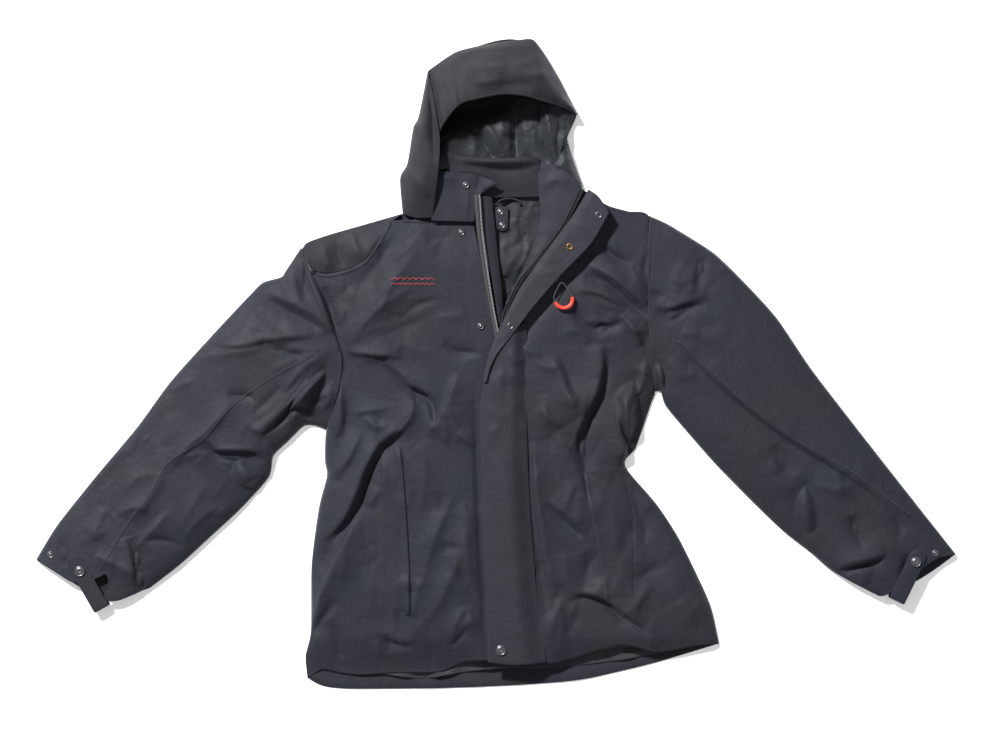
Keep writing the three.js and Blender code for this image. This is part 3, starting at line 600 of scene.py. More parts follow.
def lathe(name, profile, centre, material, turns=40):
    """A turned piece: a profile of radius and height, round an upright axis through its centre."""
    profile = np.asarray(profile, float)
    turn = np.linspace(0, 2 * np.pi, turns, endpoint=False)
    r, h = profile[:, 0][:, None], profile[:, 1][:, None]
    points = np.dstack([r * np.cos(turn), r * np.sin(turn), h + 0 * turn])
    points = points + np.asarray(centre, float)
    obj = mesh_piece(name, points.reshape(-1, 3), grid_faces(len(profile), turns, True))
    obj.data.materials.append(material)
    return obj


# ---------------------------------------------------------------- more finishes

# A darker copy of the shell nylon: painted shade for the yoke, collar band, brim edge, hanger loop and left zip
# tape, which lie in shadow.
SHELL_SHADED = cloth_material("shell nylon in shade", linear(30, 33, 40), linear(35, 34, 37))
FLAP_CLOTH = cloth_material("flap nylon", linear(37, 39, 50), linear(42, 41, 45), 0.66)
HOOD_CLOTH = cloth_material("hood nylon", linear(32, 33, 38), linear(36, 34, 37), 0.74)
NECK_LINING = cloth_material("neck lining", linear(38, 42, 46), linear(37, 38, 41), 0.6, crinkle=0.4)


# The hood lining carries painted shade: it grows darker towards the brim at the upper left, for the shadow deep
# under the crown.
HOOD_LINING = cloth_material(
    "hood lining", linear(37, 41, 46), linear(42, 44, 47), 0.52, 0.1, crinkle=0.3, shade=(0.350, 0.380),
)


def metal_material(name, colour, rough):
    """Plated metal: a worn coat of slightly uneven roughness."""
    n = Nodes(name)
    spots = n.noise(900, 3)
    n.link(n.mix(spots, colour, tuple(c * 0.6 for c in colour)), n.skin.inputs["Base Color"])
    n.link(
        n.ramp(n.noise(400), [(0.3, (rough,) * 3), (0.7, (rough + 0.15,) * 3)]),
        n.skin.inputs["Roughness"],
    )
    n.link(n.bump(n.noise(1500, 2), 0.1, 0.0002), n.skin.inputs["Normal"])
    n.set(Metallic=0.9)
    return n.material


GUNMETAL = metal_material("gunmetal", linear(120, 120, 126), 0.26)
BRASS = metal_material("worn brass", linear(150, 120, 70), 0.35)


def plastic_material(name, colour, rough, scale=600, painted_glow=0.0):
    """Moulded plastic or rubber: fine pebbled skin, slightly mottled, and if asked a painted glow of its own
    colour.
    """
    n = Nodes(name)
    n.link(n.mix(n.noise(scale / 2), colour, tuple(c * 0.82 for c in colour)), n.skin.inputs["Base Color"])
    n.link(n.bump(n.noise(scale * 3, 2), 0.2, 0.0003), n.skin.inputs["Normal"])
    n.link(
        n.ramp(n.noise(scale), [(0.3, (rough,) * 3), (0.7, (rough + 0.12,) * 3)]),
        n.skin.inputs["Roughness"],
    )
    # Painted glow: the piece gives off light of its own colour, though it is no lamp.
    if painted_glow:
        n.skin.inputs["Emission Color"].default_value = (*colour, 1)
        n.set(Emission_Strength=painted_glow)
    return n.material


TEETH = plastic_material("zip teeth", linear(150, 152, 150), 0.32)
# The signal rubber has a small painted glow.
SIGNAL = plastic_material("signal rubber", linear(255, 70, 48), 0.4, 500, 0.12)


def woven_material(name, colour, pitch, rough=0.6):
    """Ribbed tape or thread: fine ribs from sine waves along its length, and uneven dye."""
    n = Nodes(name)
    n.link(n.mix(n.noise(220, 4), colour, tuple(c * 0.7 for c in colour)), n.skin.inputs["Base Color"])
    ribs = n.wave(math.pi / pitch / 20, "DIAGONAL", n.place)
    n.link(n.bump(ribs, 0.4, 0.0002), n.skin.inputs["Normal"])
    n.link(
        n.ramp(n.noise(300), [(0.3, (rough,) * 3), (0.7, (rough + 0.1,) * 3)]),
        n.skin.inputs["Roughness"],
    )
    n.set(Sheen_Weight=0.2)
    return n.material


TAPE = woven_material("zip tape", linear(44, 46, 50), 0.001)
THREAD = woven_material("sewing thread", linear(46, 48, 54), 0.0006)
RED_THREAD = woven_material("red embroidery thread", linear(142, 38, 50), 0.0005, 0.5)

# ---------------------------------------------------------------- body shell

CELL = 2.6


def cells(length, size=CELL):
    """How many cells of about this size fit along a length."""
    return max(4, int(round(length / size)))


def edge_roll(P, low, side, wide):
    """A panel whose edge at the armhole rolls down to a given height, over a given width, for each row.

    With f from 0 at the edge to 1 where the roll ends, the height is a quarter circle, sqrt(1 - (1 - f)^2).
    """
    m = P.shape[1]
    d = np.arange(m) * CELL
    d = d if side == "right" else d[::-1]
    f = np.clip(d[None] / wide[:, None], 0, 1)
    f = np.sqrt(1 - (1 - f) ** 2)
    P[..., 2] = low[:, None] + (P[..., 2] - low[:, None]) * f
    return P


def hem_line(x):
    """The back hem's place across the garment."""
    line = np.array(HEM_BACK, float)
    return np.interp(x, line[:, 0], line[:, 1])


back_grid = patch(
    [(-142, 227), (-60, 236), (60, 245), (165, 239)],
    HEM_BACK,
    SHOULDER_RIGHT[::-1][0:4] + [(-262, 120), (-250, 30), (-250, -50)] + SIDE_RIGHT,
    [(165, 239), (196, 230), (230, 222), (236, 120), (234, 30)] + SIDE_LEFT,
    60, 90,
)
hem_roll = 1 - smooth(np.abs(back_grid[..., 1] - hem_line(back_grid[..., 0]) - 9) / 11)
back_z = 1.4 + 0.5 * ripple(back_grid, 50, 4) ** 2 + 1.6 * hem_roll
lay("back_shell", back_grid, back_z, SHELL, 0.8, 1, "torso", "shell_fabric", "back_panel")

LINING_HEM = [
    (-272, -446), (-200, -458), (-117, -470), (-60, -462), (-4, -455), (93, -453), (200, -440), (318, -415),
]
lining_grid = patch(
    [(-120, 222), (-40, 232), (60, 240), (140, 234)],
    LINING_HEM,
    [(-120, 222), (-225, 120), (-232, 0), (-250, -150), (-268, -300), (-272, -446)],
    [(140, 234), (222, 120), (222, 0), (186, -150), (266, -280), (318, -415)],
    90, 130,
)
near_hem = (1 - smooth((lining_grid[..., 1] + 475) / 60)) * smooth((lining_grid[..., 0] + 215) / 70)
lining_z = 3.4 + 3.2 * near_hem + (1.2 + 1.5 * near_hem) * noise_sharp(lining_grid, 22, 31, 1.2, 1.6)
lining_z += 1.2 * ripple(lining_grid, 30, 33)
lay(
    "back_lining", lining_grid, np.maximum(lining_z, 2.6), LINING, 0.5, 1, "torso", "lining_fabric",
    "lining_back",
)

RIGHT_FRONT_FOLDS = [
    ([(-228, 22), (-180, 20), (-140, 15)], 9, 22, 5),
    ([(-172, 2), (-150, -18), (-130, -36), (-102, -50), (-94, -64), (-92, -86)], -8, 5, 5),
    ([(-168, 10), (-146, -8), (-126, -26), (-98, -40), (-86, -60), (-86, -84)], 8, 24, 4),
    ([(-55, -12), (-66, -48), (-80, -75), (-100, -100)], 11, 28, 6),
    ([(-66, -40), (-78, -68), (-98, -92)], -6, 4, 6),
    ([(-80, 34), (-60, 20), (-26, 18)], -6, 5, 5),
    ([(-132, -38), (-128, -62), (-142, -88), (-172, -118)], 9, 12, 22),
    ([(-150, -86), (-180, -114), (-202, -150), (-217, -190), (-234, -228), (-264, -264)], 15, 7, 24),
    ([(-138, -96), (-172, -128), (-189, -150), (-203, -190), (-216, -228), (-248, -266)], -12, 9, 7),
    ([(-203, -205), (-222, -265), (-250, -325), (-280, -396)], 11, 24, 9),
    ([(-236, -350), (-258, -378), (-280, -408)], -7, 7, 6),
    ([(-250, -380), (-240, -405), (-233, -442)], -6, 8, 8),
    ([(-240, -24), (-236, -60), (-240, -108)], 11, 5, 13),
    ([(-206, -98), (-224, -130), (-246, -168)], 8, 6, 11),
    ([(-60, -185), (-80, -225), (-98, -275), (-114, -322)], 6, 9, 15),
    ([(-40, -235), (-62, -300), (-90, -360), (-132, -408)], 7, 14, 24),
    ([(-34, -382), (-52, -402), (-70, -422)], -6, 5, 5),
    ([(-30, -376), (-50, -396), (-66, -414)], 6, 6, 14),
    ([(-174, -408), (-146, -418), (-126, -420)], -6, 5, 5),
    ([(-172, -402), (-145, -411), (-122, -413)], 5, 14, 5),
    ([(-214, -70), (-190, -67), (-162, -64)], 5, 6, 5),
    ([(-200, -76), (-182, -90), (-165, -86)], 5, 5, 6),
    ([(-236, 38), (-200, 75), (-150, 130), (-100, 200)], 7, 20, 26),
    ([(-228, 28), (-176, 84), (-120, 120)], 6, 12, 14),
    ([(-215, 105), (-180, 150), (-150, 195)], -5, 14, 14),
    ([(-258, 118), (-250, 90), (-240, 50)], -6, 6, 6),
    ([(-50, -210), (-44, -280), (-34, -340)], 5, 12, 12),
    ([(-58, -100), (-40, -116), (-34, -124)], 4, 5, 5),
    ([(-110, -110), (-108, -170), (-118, -230)], 4, 14, 16),
    ([(-196, -300), (-188, -340), (-192, -380)], 3, 12, 12),
    ([(-31, -30), (-30, -120), (-27, -220), (-20, -350), (-18, -440)], -4, 3, 3),
]
LEFT_FRONT_FOLDS = [
    ([(152, 32), (152, 0), (143, -38), (126, -74), (114, -112)], 13, 8, 30),
    (
        [(164, 28), (164, 0), (155, -34), (140, -66), (128, -100), (128, -134), (134, -170), (139, -206)],
        -13, 9, 9,
    ),
    ([(176, -46), (178, -80), (182, -112), (192, -152)], 13, 5, 13),
    ([(215, -8), (204, -36), (190, -60), (189, -88), (193, -112), (202, -138)], -17, 9, 9),
    ([(224, 8), (216, -24), (202, -58)], 9, 9, 7),
    ([(80, 14), (92, -20), (101, -50), (120, -76)], 11, 9, 24),
    ([(90, 14), (104, -20), (112, -50)], -5, 8, 8),
    ([(52, 10), (76, -4), (98, 2)], 5, 8, 8),
    ([(86, -100), (105, -130), (124, -165), (134, -202)], 8, 12, 15),
    ([(74, -206), (96, -230), (128, -257)], -6, 5, 5),
    ([(80, -200), (102, -222), (134, -250)], 6, 20, 5),
    ([(57, -112), (62, -180), (72, -260), (82, -334)], 10, 14, 6),
    ([(50, -130), (57, -210), (66, -300), (76, -400)], -5, 8, 9),
    ([(96, -350), (84, -378), (80, -408)], 6, 7, 6),
    ([(114, -353), (130, -346), (160, -355), (186, -375), (210, -392), (226, -402)], -9, 5, 5),
    ([(112, -345), (132, -337), (164, -345), (192, -365), (222, -388)], 9, 20, 5),
    ([(190, -378), (212, -402), (238, -428)], 7, 12, 8),
    ([(182, -150), (205, -200), (221, -240), (219, -295)], -7, 18, 14),
    ([(250, -300), (280, -350), (300, -390)], 6, 22, 22),
    ([(130, 134), (160, 126), (195, 100), (226, 64)], -11, 5, 10),
    ([(136, 150), (170, 138), (204, 110), (228, 78)], 11, 12, 5),
    ([(112, 80), (140, 54), (170, 57), (202, 73)], -11, 8, 5),
    ([(186, 76), (204, 52), (216, 28)], 10, 7, 5),
    ([(150, 184), (176, 162), (204, 150)], -9, 5, 7),
    ([(118, 112), (152, 112), (206, 86)], 8, 10, 5),
    ([(202, 142), (218, 118), (228, 108)], 5, 4, 5),
    ([(200, 124), (212, 108), (226, 92)], 5, 4, 5),
    ([(196, 88), (212, 74), (230, 62)], 5, 4, 6),
    ([(34, 32), (52, 18), (66, 20)], 4, 5, 5),
    ([(172, 205), (148, 166), (100, 118), (58, 69), (28, 29), (8, 6), (-2, -16)], -5, 9, 14),
    ([(60, -60), (74, -78), (96, -92)], 5, 7, 7),
    ([(100, -280), (108, -330), (120, -345)], 4, 14, 14),
    ([(172, -200), (180, -270), (192, -330)], 4, 14, 12),
]
SEAM_FOOT = 3.0
SEAM_RISE = 15.0


def seam_height(points, seam):
    """Height of a sleeve's rim at its seam: a half ellipse from one end of the seam to the other."""
    line = np.asarray(seam, float)
    _, share = away(np.asarray(points, float), curve(line, 60))
    return SEAM_FOOT + SEAM_RISE * np.sqrt(np.clip(1 - (2 * share - 1) ** 2, 0, 1))


def front_rise(xy):
    """The fronts lie on the body's bulk, and drop towards the hem away from the zip."""
    away_from_zip = smooth((np.abs(xy[..., 0] - 28) - 46) / 40)
    near_hem = 1 - smooth((xy[..., 1] + 462) / 60)
    return (torso_rise(xy) + 3.5) * (1 - (0.22 + 0.45 * away_from_zip) * near_hem)


def lining_rise(xy):
    """The linings lie well under the fronts, below their deepest folds."""
    return 3.4 + 0.3 * front_rise(xy)


def armhole_low(P, column, seam, last_y):
    """What a front rolls down to, the sleeve's rim or below it the seam's foot, and over what width."""
    edge = P[:, column, :2]
    z = seam_height(edge, seam) - 0.4
    return np.where(edge[:, 1] > last_y, z, SEAM_FOOT), np.where(edge[:, 1] > last_y, 7.0, 16.0)


def front_panel(side, xy, strokes, seam, last_y, seed):
    """A front: rise and folds over a plan grid, settled on what is under it, rolled down at the armhole."""
    z = front_rise(xy) + folds(xy, strokes) + 0.7 * ripple(xy, 75, seed)
    n, m = z.shape
    i, j = np.mgrid[0:n, 0:m]
    to_edge = np.minimum(np.minimum(i, n - 1 - i), np.minimum(j, m - 1 - j))
    calm = np.clip(to_edge / 8, 0, 1)[..., None]
    P = np.dstack([xy + lean(xy, strokes) * calm, z])
    if SETTLE:
        held = np.where(to_edge == 0, 1.0, 0.0)
        P = settle(P, held, lambda Q: front_rise(Q[..., :2]) * 0.6, seed)
    low, wide = armhole_low(P, 0 if side == "right" else -1, seam, last_y)
    P = edge_roll(P, low, side, wide)
    return keep(
        cloth_piece("front_" + side + "_shell", P, SHELL, 1.0, 0), "torso", "shell_fabric",
        "front_panel_" + side,
    )


right_grid = patch(
    YOKE_LINE + [(-128, 217), (-96, 219), (-36, 216)],
    HEM_RIGHT,
    [(-279, 143)] + ARMHOLE_RIGHT[2:] + SIDE_RIGHT[1:],
    ZIP_RIGHT, cells(265), cells(680),
)
RIGHT_FRONT_FOLDS += creases(46, 5, (-270, -440, -30, -20), lambda x, y: 1.75 + x / 900, (20, 80), (1.5, 4))
RIGHT_FRONT_FOLDS += creases(20, 6, (-235, 0, -60, 190), toward(-237, 30), (30, 90), (1.2, 3.2))
front_right = front_panel("right", right_grid, RIGHT_FRONT_FOLDS, ARMHOLE_RIGHT, -96, 11)

left_grid = patch(SHOULDER_LEFT, HEM_LEFT, ZIP_LEFT, ARMHOLE_LEFT + SIDE_LEFT[1:], cells(255), cells(690))
LEFT_FRONT_FOLDS += creases(
    44, 7, (60, -430, 300, -20), lambda x, y: 1.5 - (x - 80) / 500, (20, 80), (1.5, 4),
)
LEFT_FRONT_FOLDS += creases(20, 8, (110, 20, 226, 200), toward(236, 60), (25, 80), (1.2, 3.2))
front_left = front_panel("left", left_grid, LEFT_FRONT_FOLDS, ARMHOLE_LEFT, -39, 12)

yoke_grid = patch(
    SHOULDER_RIGHT, YOKE_LINE,
    [SHOULDER_RIGHT[0], (-284, 152), YOKE_LINE[0]],
    [SHOULDER_RIGHT[-1], YOKE_LINE[-1]],
    cells(170), 12,
)
yoke_t = np.linspace(0, 1, 13)[:, None]
YOKE_FOLDS = [
    ([(-265, 192), (-258, 168), (-248, 140)], 8, 6, 14),
    ([(-218, 206), (-212, 180), (-203, 156)], 7, 6, 16),
    ([(-240, 200), (-238, 170), (-228, 146)], -6, 8, 8),
    ([(-176, 216), (-184, 190), (-196, 160)], 5, 10, 10),
]
yoke_z = 3 + (
    front_rise(yoke_grid) - 3 + folds(yoke_grid, YOKE_FOLDS) + ripple(yoke_grid, 40, 8)
) * np.sin(yoke_t * np.pi / 2) ** 0.8
yoke = lay(
    "shoulder_yoke_right", yoke_grid, yoke_z, SHELL_SHADED, 1.0, 1, "torso", "shell_fabric_side",
    "yoke_right",
)

lining_grids = {
    "right": patch(
        [(-215, 150), (-120, 205), (-40, 210)],
        [(-262, -432), (-200, -440), (-120, -453), (0, -437)],
        [(-215, 150), (-225, 0), (-236, -100), (-262, -300), (-262, -432)],
        [(-40, 210), (-6, 60), (8, -100), (18, -437)],
        30, 80,
    ),
    "left": patch(
        [(120, 238), (160, 230), (205, 215)],
        [(40, -436), (150, -425), (316, -415)],
        [(120, 238), (44, 130), (22, 0), (30, -300), (40, -436)],
        [(205, 215), (212, 20), (184, -150), (240, -260), (316, -415)],
        30, 80,
    ),
}
for side, grid in lining_grids.items():
    lay(
        "front_lining_" + side, grid, lining_rise(grid), LINING, 0.4, 0, "torso", "lining_fabric",
        "lining_front_" + side,
    )

# ---------------------------------------------------------------- sleeves

SLEEVE_RIGHT_FOLDS = [
    ([(-346, 112), (-315, 98), (-280, 80), (-242, 48)], 9, 10, 8),
    ([(-342, 100), (-302, 76), (-258, 54)], -7, 6, 7),
    ([(-294, 168), (-291, 130), (-285, 96)], -9, 8, 7),
    ([(-284, 152), (-268, 105), (-242, 50)], 9, 6, 7),
    ([(-310, 140), (-303, 115), (-292, 92)], 7, 8, 8),
    ([(-432, 35), (-386, 32), (-340, 43), (-272, 46)], 10, 16, 5),
    ([(-458, 8), (-400, 18), (-332, 26)], 5, 8, 10),
    ([(-332, 23), (-310, 18), (-286, 11)], -5, 5, 5),
    ([(-258, 2), (-295, -36), (-325, -70), (-350, -96), (-370, -90)], 11, 5, 20),
    ([(-302, -50), (-282, -62), (-262, -60)], 7, 6, 6),
    ([(-284, -34), (-264, -44), (-244, -40)], 6, 6, 5),
    ([(-264, -70), (-252, -54), (-243, -44)], 6, 5, 5),
    ([(-256, -4), (-290, -42), (-320, -76), (-350, -102)], -16, 6, 7),
    ([(-314, -62), (-296, -80), (-272, -88)], 9, 6, 7),
    ([(-292, -44), (-284, -60), (-282, -82)], -9, 5, 6),
    ([(-442, -104), (-412, -124), (-360, -126), (-345, -138)], 9, 18, 5),
    ([(-436, -112), (-414, -132), (-366, -135), (-348, -148)], -8, 5, 5),
    ([(-387, -140), (-379, -165), (-364, -180)], -8, 7, 6),
    ([(-378, -162), (-360, -165), (-344, -160)], -6, 5, 5),
    ([(-404, -46), (-384, -46), (-362, -49)], -5, 4, 5),
    ([(-362, -72), (-345, -55), (-322, -30)], -5, 6, 6),
    ([(-388, -48), (-430, -95), (-488, -147)], 8, 9, 14),
    ([(-470, -50), (-530, -115), (-590, -180), (-612, -246)], -7, 24, 26),
    ([(-490, -38), (-472, -30), (-452, -22)], 5, 5, 5),
    ([(-566, -224), (-542, -212), (-518, -216)], 6, 6, 6),
    ([(-548, -236), (-520, -200), (-496, -160)], 6, 9, 8),
    ([(-560, -190), (-530, -165), (-495, -165)], 4, 10, 10),
    ([(-548, -258), (-538, -290), (-531, -340)], -9, 7, 6),
    ([(-556, -256), (-547, -290), (-541, -332)], 7, 6, 14),
    ([(-532, -262), (-498, -262), (-468, -271)], -5, 5, 6),
    ([(-654, -262), (-648, -280), (-645, -304)], -5, 4, 5),
    ([(-600, -285), (-575, -295), (-540, -315)], 6, 7, 7),
    ([(-430, -170), (-460, -220), (-480, -250)], 4, 18, 18),
]
SLEEVE_LEFT_FOLDS = [
    ([(276, 32), (350, -38), (440, -106), (520, -156), (600, -214), (632, -238)], 8, 30, 5),
    ([(272, 26), (346, -46), (436, -114), (516, -164), (596, -222)], -4, 4, 5),
    ([(238, 84), (258, 73), (280, 83), (314, 94)], -8, 6, 6),
    ([(236, 94), (260, 84), (284, 95), (316, 104)], 6, 14, 5),
    ([(300, 110), (303, 140), (314, 164)], -8, 7, 6),
    ([(296, 150), (291, 126), (290, 102)], 5, 6, 8),
    ([(230, 110), (240, 104), (250, 98)], -4, 4, 4),
    ([(412, -118), (430, -150), (448, -165)], -6, 14, 12),
    ([(464, -165), (460, -210), (472, -254)], -8, 13, 12),
    ([(528, -224), (538, -250), (548, -275)], -7, 8, 8),
    ([(505, -300), (540, -288), (580, -280)], 13, 20, 5),
    ([(508, -310), (542, -298), (578, -289)], -8, 5, 6),
    ([(532, -302), (544, -314), (554, -328)], 6, 6, 6),
    ([(470, -176), (505, -186), (542, -176)], 5, 12, 10),
    ([(248, 212), (270, 194), (304, 172)], 6, 8, 8),
    ([(256, 10), (280, -16), (300, -10)], 4, 9, 9),
    ([(242, 8), (244, -14), (250, -40)], -8, 6, 6),
    ([(560, -250), (590, -275), (612, -300)], 5, 12, 10),
    ([(614, -278), (610, -296), (600, -322)], -5, 5, 5),
    ([(300, -60), (370, -130), (440, -195)], 5, 24, 22),
]
SLEEVE_RIGHT_FOLDS += creases(26, 9, (-380, -110, -250, 130), toward(-237, 30), (25, 80), (1.5, 3.5), 0.2)
SLEEVE_RIGHT_FOLDS += creases(22, 10, (-640, -310, -400, -90), lambda x, y: 0.9)
SLEEVE_LEFT_FOLDS += creases(14, 13, (240, -40, 360, 180), toward(236, 60), (25, 70), (1.2, 3), 0.2)
SLEEVE_LEFT_FOLDS += creases(20, 14, (400, -310, 640, -140), lambda x, y: -1.0, (20, 70), (1.2, 3))
MOUTH_RIGHT = [(-690, -292), (-660, -312), (-633, -328), (-594, -352), (-565, -352), (-520, -333)]
MOUTH_RIGHT_TOP = [
    (-690, -292), (-660, -310), (-634, -325), (-606, -322), (-584, -313), (-581, -332), (-588, -351),
    (-565, -352), (-520, -333),
]
MOUTH_LEFT = [(687, -284), (660, -304), (632, -322), (600, -338), (572, -346), (550, -323)]
MOUTH_LEFT_TOP = [(687, -284), (662, -288), (638, -303), (612, -330), (590, -340), (572, -345), (550, -323)]


def sleeve(name, seam, upper, lower, mouths, strokes, seed, bodies, node):
    """A sleeve as one tube: a settled upper layer and a flatter under layer that meet at its long edges."""
    nu, nv = cells(240), cells(640)
    grid = patch(seam, mouths[0], upper, lower, nu, nv)
    s = np.linspace(0, 1, nu + 1)[None]
    t = np.linspace(0, 1, nv + 1)[:, None]
    arch = np.clip(1 - (2 * s - 1) ** 2, 0, 1) ** 0.5
    swell = SEAM_RISE + 3 * np.sin(np.pi * t) - 1 * t
    base = SEAM_FOOT + arch * swell
    z = base + arch * (
        folds(grid, strokes) + 1.0 * ripple(grid, 80, seed) + 1.2 * noise_sharp(grid, 110, seed + 5, 0, 2)
    )
    z[0] = seam_height(grid[0], seam)
    calm = np.minimum(arch, np.clip(t * 12, 0, 1))[..., None]
    P = np.dstack([grid + lean(grid, strokes, 0.35) * calm, z])
    held = np.zeros(z.shape)
    held[:, 0] = held[:, -1] = held[0] = held[-1] = 1
    if SETTLE:
        P = settle(P, held, lambda Q: base * 0.75, seed)
    low = patch(seam, mouths[1], upper, lower, nu, nv)
    under = np.dstack([low, FLOOR_GAP + 1 + 0.1 * P[..., 2] * arch])[:, ::-1]
    tube_grid = np.concatenate([P, under[:, 1:-1]], axis=1)
    obj = keep(cloth_piece(name, tube_grid, SHELL, 1.0, 0, wrap=True), bodies, "shell_fabric", *node)
    return obj


SHOULDERS = {
    "right": ("torso", "sleeve_right", (-0.27, 0, 0), (-0.42, -0.1, 0)),
    "left": ("torso", "sleeve_left", (0.245, 0, 0), (0.40, -0.1, 0)),
}
SLEEVES = {
    "right": sleeve(
        "sleeve_right_shell", ARMHOLE_RIGHT, SLEEVE_RIGHT_TOP, SLEEVE_RIGHT_LOW,
        (MOUTH_RIGHT_TOP, MOUTH_RIGHT), SLEEVE_RIGHT_FOLDS, 21, SHOULDERS["right"],
        ("sleeve_right", "sleeve_lining_right"),
    ),
    "left": sleeve(
        "sleeve_left_shell", ARMHOLE_LEFT, SLEEVE_LEFT_TOP, SLEEVE_LEFT_LOW, (MOUTH_LEFT_TOP, MOUTH_LEFT),
        SLEEVE_LEFT_FOLDS, 22, SHOULDERS["left"], ("sleeve_left", "sleeve_lining_left"),
    ),
}

# ---------------------------------------------------------------- hood

NECK = ("torso", "hood", (0, 0.225, 0.02), (0, 0.300, 0.02))


hood_floor = patch(
    [(-100, 438), (-30, 478), (40, 484), (118, 372)],
    [(-133, 224), (-60, 230), (50, 238), (128, 244)],
    [(-100, 438), (-116, 370), (-132, 300), (-133, 224)],
    [(118, 372), (104, 338), (126, 268), (128, 244)],
    40, 50,
)
hood_tuck = 1.3 * (1 - smooth((hood_floor[..., 1] - 246) / 8))
lay(
    "hood_back_shell", hood_floor, 1.6 + hood_tuck + 0.4 * ripple(hood_floor, 40, 3) ** 2, HOOD_CLOTH, 0.8,
    1, NECK, "shell_fabric", "hood_back",
)

inside = patch(
    [(-95, 400), (-40, 440), (40, 440), (112, 372)],
    [(-90, 290), (-40, 300), (40, 300), (88, 290)],
    [(-95, 400), (-96, 340), (-90, 290)],
    [(112, 372), (100, 335), (88, 290)],
    90, 76,
)
INSIDE_FOLDS = [
    ([(24, 402), (29, 350), (27, 302)], -9, 4, 8),
    ([(18, 390), (18, 350), (20, 304)], 8, 5, 12),
    ([(-35, 352), (-20, 332), (-2, 306)], -9, 6, 6),
    ([(-44, 350), (-34, 330), (-36, 306)], 7, 8, 8),
    ([(-22, 368), (-4, 340), (8, 308)], 8, 6, 12),
    ([(2, 382), (8, 356), (14, 330)], 6, 5, 9),
    ([(8, 344), (18, 338), (28, 337)], -5, 4, 4),
    ([(44, 396), (40, 360), (46, 310)], 7, 10, 9),
    ([(56, 380), (50, 356), (34, 348)], 5, 5, 6),
    ([(66, 392), (78, 350), (88, 305)], 9, 9, 7),
    ([(70, 338), (78, 322), (86, 304)], -8, 6, 6),
    ([(-84, 330), (-70, 312), (-52, 300)], 7, 9, 9),
]
to_brim = smooth((396 - 0.16 * np.abs(inside[..., 0] - 10) - inside[..., 1]) / 46)
u = np.linspace(-1, 1, 91)[None]
inside_z = 3 + (8 + 10 * np.abs(u) ** 2) * to_brim + folds(inside, INSIDE_FOLDS) * (0.3 + 0.7 * to_brim)
inside_z += 1.5 * noise_sharp(inside, 26, 41, 1.1, 2.0) * to_brim
lay(
    "hood_inside", inside, np.maximum(inside_z, 3.2), HOOD_LINING, 0.4, 1, NECK, "lining_fabric",
    "hood_lining",
)

BRIM = [
    (-88, 341), (-78, 360), (-54, 386), (-21, 396), (10, 401), (39, 399), (63, 393), (98, 384), (119, 373),
]
crown_grid = patch(
    [(-104, 441), (-60, 470), (0, 483), (36, 488), (57, 486), (88, 438), (116, 384), (122, 374)],
    BRIM,
    [(-104, 441), (-101, 400), (-88, 341)],
    [(122, 374), (119, 373)],
    70, 30,
)
u = np.linspace(0, 1, 71)[None]
t = np.linspace(0, 1, 31)[:, None]
side_drop = np.clip(np.minimum(0.55 + 1.8 * u, 0.25 + 2.4 * (1 - u)), 0, 1)
crown_z = 6 + 52 * np.sin(np.pi / 2 * t**0.85) * side_drop
crown_z += (
    2.5 * ripple(crown_grid, 45, 51) + 2 * noise_sharp(crown_grid, 60, 53, 0.5, 2)
) * np.sin(np.pi * t)
CROWN_FOLDS = [
    ([(-90, 434), (-42, 468), (34, 476)], 4.8, 4, 8),
    ([(-98, 432), (-78, 420), (-60, 424)], 8, 5, 9),
    ([(-88, 420), (-78, 388), (-70, 356)], 11.2, 5, 10),
    ([(-96, 425), (-88, 392), (-82, 352)], -9.6, 5, 6),
    ([(-70, 418), (-62, 396), (-60, 366)], 8, 4, 8),
    ([(-50, 446), (-20, 440), (12, 444)], 4.8, 4, 8),
    ([(-46, 424), (-20, 418), (14, 424)], 4.8, 8, 5),
    ([(20, 440), (50, 430), (78, 436)], 4.8, 5, 10),
    ([(0, 412), (34, 416), (60, 410)], -4.8, 5, 5),
    ([(58, 484), (64, 440), (92, 388)], 6.4, 16, 9),
    ([(96, 398), (106, 388), (118, 380)], 6.4, 4, 5),
]
crown_z += folds(
    crown_grid,
    CROWN_FOLDS + creases(18, 15, (-70, 405, 90, 470), lambda x, y: 0.15, (18, 60), (1.2, 3.2)),
)
P = np.dstack([crown_grid, crown_z])
keep(cloth_piece("hood_crown_shell", P, HOOD_CLOTH, 1.0, 1), NECK, "shell_fabric", "hood_crown")

brim_path = curve(BRIM, 70)
brim_top = crown_z[-1]
taper = np.sin(np.pi * np.linspace(0, 1, 71)) ** 0.5
brim = np.stack(
    [np.column_stack([brim_path[:, 0], brim_path[:, 1] + dy * taper, np.maximum(brim_top + dz, 3)])
    for dy, dz in ((2, 0.4), (0, 0.5), (-1.2, -0.6), (-1, -2.4), (2, -5), (10, -12), (22, -24), (34, -40))]
)
keep(cloth_piece("hood_brim_edge", brim, SHELL_SHADED, 0.6, 1), NECK, "shell_fabric_side", "hood_brim")

